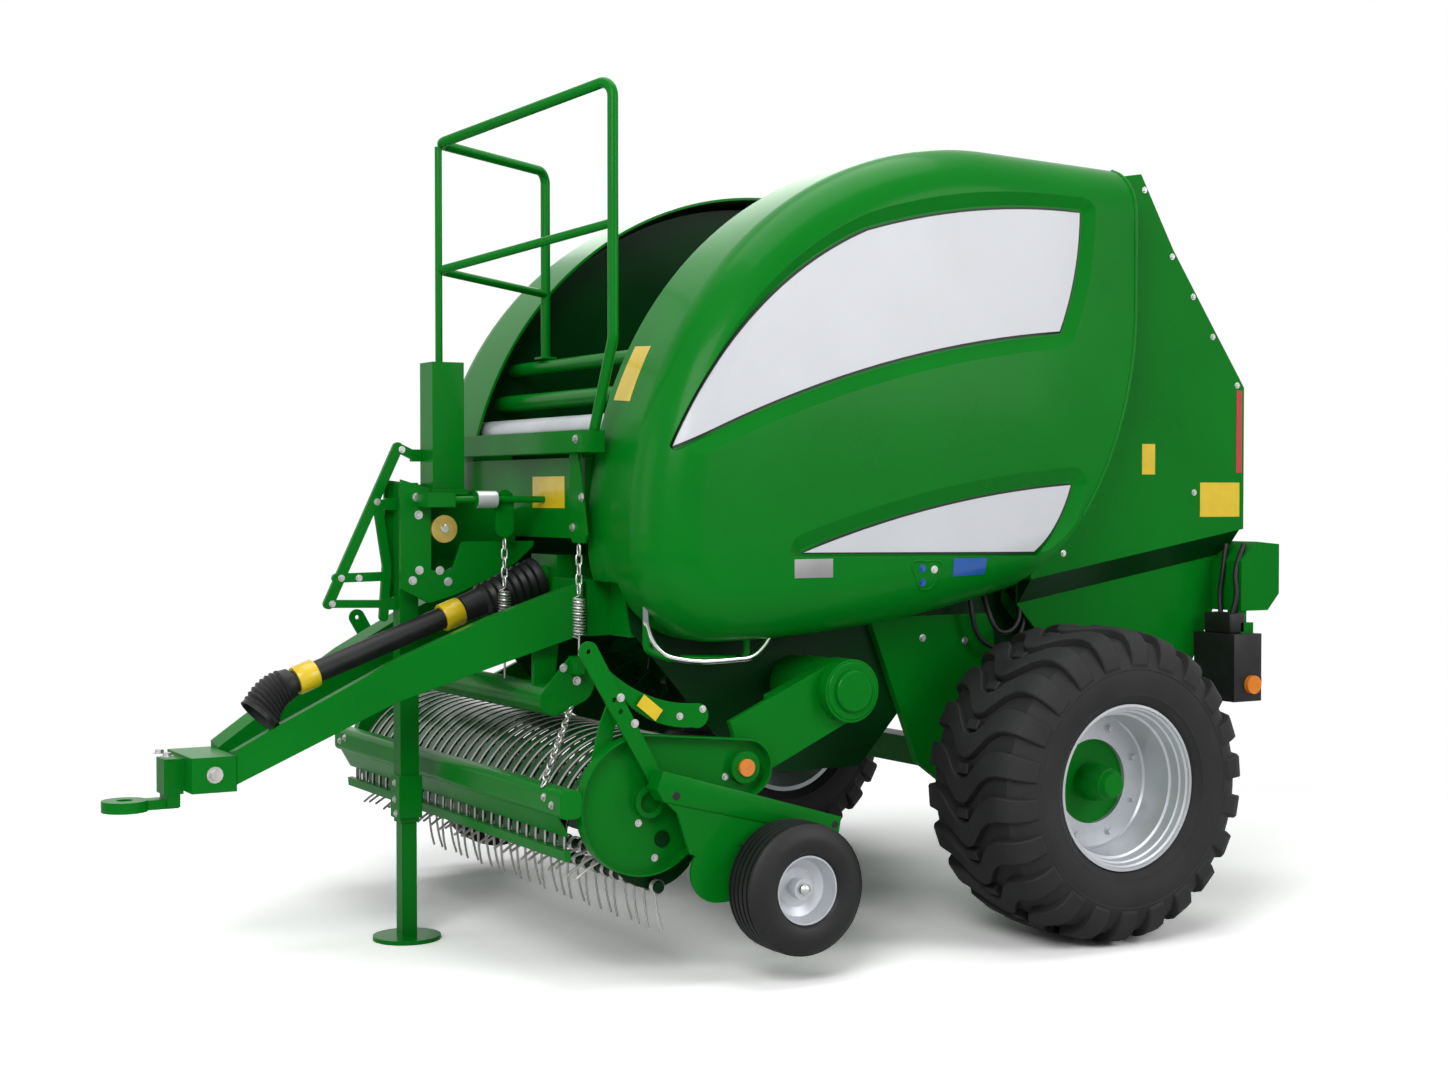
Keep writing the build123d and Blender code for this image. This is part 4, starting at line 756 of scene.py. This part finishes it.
# lower front, lower rear, upper front, upper rear corner; finish
doorPlates = {
    "nosePlate": (((1.498, 0.540, 1.770), (1.500, 0.655, 1.762), (1.428, 0.545, 1.945), (1.428, 0.655, 1.938)),
                  "yellowPlate"),
    "steelPlate": (((1.079, 0.950, 1.211), (0.937, 0.950, 1.211), (1.079, 0.950, 1.270), (0.937, 0.950, 1.270)),
                   "chrome"),
    "portPlate": (((0.470, 0.950, 1.203), (0.335, 0.950, 1.203), (0.470, 0.950, 1.263), (0.335, 0.950, 1.263)),
                  "bluePlate"),
}
for name, (corners, finish) in doorPlates.items():
    addPiece(name, laidPlate("door_left", corners), finish, "door_left")
ports = {"places": ((0.593, 1.232, "bluePlate"), (0.546, 1.228, "whiteMark"), (0.587, 1.182, "bluePlate")),
         "radius": 0.013, "height": 0.006, "out": 0.96, "rimRadius": 0.0035,
         "rim": ((0.640, 1.258), (0.508, 1.254), (0.545, 1.165), (0.557, 1.150), (0.600, 1.160))}
portMesh = {}
for x, z, finish in ports["places"]:
    near, normal = onSkin("door_left", spot(x, ports["out"], z))
    mesh = portMesh.setdefault(finish, bmesh.new())
    stamp(mesh, boltShape(ports["radius"] * 0.7, ports["height"], ports["radius"]), facing(near, normal))
for finish, mesh in portMesh.items():
    addPiece("ports_" + finish, mesh, finish, "door_left")
corners = [Vector((x, ports["out"], z)) for x, z in ports["rim"]]
route = []
for near, far in zip(corners, corners[1:] + corners[:1]):
    for part in (0.15, 0.5, 0.85):
        route.append(onSkin("door_left", spot(*near.lerp(far, part)))[0])
rim = bmesh.new()
stamp(rim, tubeShape(route + route[:2], ports["rimRadius"], sides=2), still)
addPiece("portRim", rim, "greenPaint", "door_left", sharp=60)
print("door plates made")

# black borders round the pale panels, as painted shade of their recesses, and the doors' rear lips
recessShade = {"border": 0.007, "sink": 0.0025}
# the lip runs over the door's top roll, down its rear edge and round the lower arc
lip = {"centre": (0.900, 2.100), "radius": 1.196, "from": 180, "to": 222, "rise": 0.330, "tube": 0.006,
       "roll": (0.780, 2.430, 0.170), "rollTurns": (75, 55, 35, 15), "riseParts": (0.9, 0.5, 0.2)}
for side, hand in sides:
    node = "door_panels_" + side
    border = bmesh.new()
    border.from_mesh(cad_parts[node].data)
    bmesh.ops.remove_doubles(border, verts=border.verts, dist=1e-5)
    border.normal_update()
    shifts = {}
    for vert in border.verts:
        outward, lookOut = Vector((0, 0, 0)), Vector((0, 0, 0))
        for face in vert.link_faces:
            if abs(face.normal.y) < 0.5:
                outward += face.normal
            else:
                lookOut += face.normal
        lookOut.normalize()
        outward -= lookOut * outward.dot(lookOut)
        inward = lookOut * (-1 if lookOut.y * hand > 0 else 1)
        shifts[vert] = outward.normalized() * recessShade["border"] + inward * recessShade["sink"]
    for vert, shift in shifts.items():
        vert.co += shift
    # a black border round each pale panel: painted shade standing for the shadow in the panel's recess
    addPiece("panelSeal_" + side, border, "blackPlastic", "door_" + side)
    x, z = lip["centre"]
    inner, top, roll = lip["roll"]
    route = []
    for turn in lip["rollTurns"]:
        angle = math.radians(turn)
        route.append((x - lip["radius"], inner + roll * math.cos(angle), top + roll * math.sin(angle)))
    route += [(x - lip["radius"], inner + roll, z + lip["rise"] * part) for part in lip["riseParts"]]
    for turn in range(lip["from"], lip["to"], 6):
        angle = math.radians(turn)
        route.append((x + lip["radius"] * math.cos(angle), inner + roll, z + lip["radius"] * math.sin(angle)))
    lipMesh = bmesh.new()
    stamp(lipMesh, tubeShape([handed(place, hand) for place in route], lip["tube"], sides=2), still)
    addPiece("doorLip_" + side, lipMesh, "greenPaint", "door_" + side, sharp=60)
print("seals and lips made")

# tailgate's sloped belt, and the fittings at its lower rear corners
belt = {"corners": ((-0.930, 0.7945, 1.3415), (-0.930, 0.7195, 1.3415), (-0.930, 0.7195, 1.255)),
        "run": (0.958, 0, -0.1613)}
fitting = {"low": (-0.862, 0.762, 0.970), "high": (-0.790, 0.900, 1.045), "edge": 0.008, "hose": 0.010}
tailHoses = (((-0.885, 0.775, 1.290), (-0.862, 0.785, 1.200), (-0.852, 0.780, 1.110), (-0.846, 0.790, 1.040)),
             ((-0.905, 0.845, 1.292), (-0.861, 0.850, 1.190), (-0.855, 0.860, 1.100), (-0.840, 0.855, 1.040)))
for side, hand in sides:
    slope = bmesh.new()
    wedge = slope.faces.new([slope.verts.new(handed(place, hand)) for place in belt["corners"]])
    pushOut(slope, [wedge], belt["run"])
    # the belt takes the green with painted shade
    addPiece("tailBelt_" + side, slope, "paintedShadeGreen", "tailgate")
    low, high = spot(*fitting["low"]), spot(*fitting["high"])
    middle = (low + high) / 2
    valve = bmesh.new()
    addBlock(valve, Matrix.Translation((middle.x, middle.y * hand, middle.z)), high - low)
    roundEdges(valve, valve.edges[:], fitting["edge"])
    for route in tailHoses:
        stamp(valve, tubeShape([handed(place, hand) for place in route], fitting["hose"]), still)
    addPiece("tailFittings_" + side, valve, "blackPlastic", "tailgate", sharp=50)
print("tail fittings made")

# pickup bands, their rails and the gauge wheels' box arms
band = {"inner": 0.298, "outer": 0.302, "from": -5, "to": 103, "tail": 0.290, "half": 0.0245, "count": 27,
        "pitch": 0.067, "steps": 26, "ridgeWidth": 0.011, "ridgeRise": 0.0015,
        "rail": (0.018, 1.863, 0.030), "railRadius": 0.3115, "rearRail": (0.060, 1.80, 0.060)}


def bandShape(inner, outer, left, right):  # a strip bent round the reel, with its straight tail
    strip = bmesh.new()
    start, end = math.radians(band["from"]), math.radians(band["to"])
    ends = [strip.verts.new((radius * math.cos(start), across, radius * math.sin(start)))
            for radius, across in ((inner, left), (outer, left), (outer, right), (inner, right))]
    first = strip.faces.new(ends)
    swept = bmesh.ops.spin(strip, geom=[first], cent=(0, 0, 0), axis=(0, 1, 0), dvec=(0, 0, 0),
                           angle=start - end, steps=band["steps"])
    lastFace = [item for item in swept["geom_last"] if isinstance(item, bmesh.types.BMFace)]
    pushOut(strip, lastFace, (-math.sin(end) * band["tail"], 0, math.cos(end) * band["tail"]))
    return asPattern("band", strip)


centre = spot(*reel["middle"])
bandPattern = bandShape(band["inner"], band["outer"], -band["half"], band["half"])
ridgePattern = bandShape(band["outer"] - 0.001, band["outer"] + band["ridgeRise"],
                         band["half"] - band["ridgeWidth"], band["half"])
hoops, ridges = bmesh.new(), bmesh.new()
for number in range(band["count"]):
    across = (number - (band["count"] - 1) / 2) * band["pitch"]
    stamp(hoops, bandPattern, Matrix.Translation(centre + Vector((0, across, 0))))
    stamp(ridges, ridgePattern, Matrix.Translation(centre + Vector((0, across, 0))))
hoopPiece = addPiece("cropBands", hoops, "bandPaint", "pickup", sharp=40)
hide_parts("pickup_bands")
addPiece("bandRidges", ridges, "springSteel", "pickup", sharp=40)
rails = bmesh.new()
railTurn = Matrix.Rotation(-math.radians(band["from"]), 4, "Y")
railPlace = Matrix.Translation(centre) @ railTurn @ Matrix.Translation((band["railRadius"], 0, 0))
addBlock(rails, railPlace, band["rail"])
low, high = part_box("pickup_rails")
half = band["rearRail"][0] / 2
addBlock(rails, Matrix.Translation((low.x + half, 0, high.z - half)), band["rearRail"])
railPiece = addPiece("bandRails", rails, "greenPaint", "pickup")
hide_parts("pickup_rails")

# a thin skirt from the guard beam down to the bands: (x, z) of its section
skirt = {"section": ((1.8935, 0.540), (1.8495, 0.463), (1.8460, 0.465), (1.8895, 0.541)), "half": 0.934}
skirtMesh = bmesh.new()
edgeFace = skirtMesh.faces.new([skirtMesh.verts.new(spot(x, -skirt["half"], z)) for x, z in skirt["section"]])
pushOut(skirtMesh, [edgeFace], (0, 2 * skirt["half"], 0))
addPiece("beamSkirt", skirtMesh, "greenPaint", "pickup")

boxArm = {"outline": ((1.590, 0.655), (1.612, 0.600), (1.590, 0.562), (0.975, 0.407), (0.963, 0.471)),
          "from": 1.0380, "to": 1.0425, "edge": 0.0025}
for side, hand in sides:
    arm = bmesh.new()
    flank = arm.faces.new([arm.verts.new(handed((x, boxArm["from"], z), hand)) for x, z in boxArm["outline"]])
    pushOut(arm, [flank], (0, (boxArm["to"] - boxArm["from"]) * hand, 0))
    roundEdges(arm, arm.edges[:], boxArm["edge"])
    addPiece("boxArm_" + side, arm, "greenPaint", "pickup")
print("bands and arms made")

# caps, pins and the hoses between the near door and its tyre
# start, end, radius, edge, finish, body
rounds = {
    "pivotCap": ((0.877, 0.970, 0.852), (0.877, 0.990, 0.852), 0.066, 0.004, "greenPaint", "root"),
    "pivotRing": ((0.877, 0.970, 0.852), (0.877, 0.9755, 0.852), 0.092, 0.003, "greenPaint", "root"),
    "armPinHigh": ((1.548, 1.041, 0.578), (1.548, 1.0438, 0.578), 0.013, 0.001, "blackPlastic", "pickup"),
    "armPinLow": ((0.988, 1.041, 0.449), (0.988, 1.0438, 0.449), 0.012, 0.001, "blackPlastic", "pickup"),
    "discCentre": ((1.896, 0.100, 1.359), (1.896, 0.110, 1.359), 0.014, 0.002, "brightZinc", "root"),
}
for name, (start, end, radius, edge, finish, body) in rounds.items():
    for side, hand in (sides if name != "discCentre" else sides[:1]):
        near, far = handed(start, hand), handed(end, hand)
        length = (far - near).length
        section = [(0, 0), (0, radius), (length - edge, radius), (length, radius - edge), (length, 0)]
        disc = bmesh.new()
        spinOutline(disc, section, near, far - near, 40, closed=False)
        addPiece(name + "_" + side, disc, finish, body)

hose = {"radius": 0.009, "rounds": 4}
# where each hose leaves the frame, sags and goes back in
hoseRoutes = (((0.205, 0.627, 1.190), (0.212, 0.680, 1.170), (0.216, 0.705, 1.080), (0.195, 0.705, 0.990),
               (0.135, 0.705, 0.945), (0.066, 0.705, 0.945), (0.001, 0.705, 0.985), (-0.030, 0.690, 1.070),
               (-0.036, 0.650, 1.120), (-0.036, 0.627, 1.125)),
              ((0.150, 0.627, 1.175), (0.153, 0.675, 1.160), (0.160, 0.730, 1.060), (0.125, 0.735, 0.995),
               (0.060, 0.735, 1.000), (0.020, 0.730, 1.060), (0.012, 0.670, 1.130), (0.012, 0.627, 1.135)))
for number, route in enumerate(hoseRoutes):
    line = [spot(*place) for place in route]
    for turn in range(hose["rounds"]):  # corners cut again and again until the line is smooth
        cut = [line[0]]
        for near, far in zip(line, line[1:]):
            cut += [near.lerp(far, 0.25), near.lerp(far, 0.75)]
        line = cut + [line[-1]]
    length = sum((far - near).length for near, far in zip(line, line[1:]))
    pipe = bmesh.new()
    stamp(pipe, tubeShape(line, hose["radius"], smooth=False), still)
    piece = addPiece("doorHose_%d" % number, pipe, "blackPlastic", "root", sharp=60)
print("caps and hoses made")
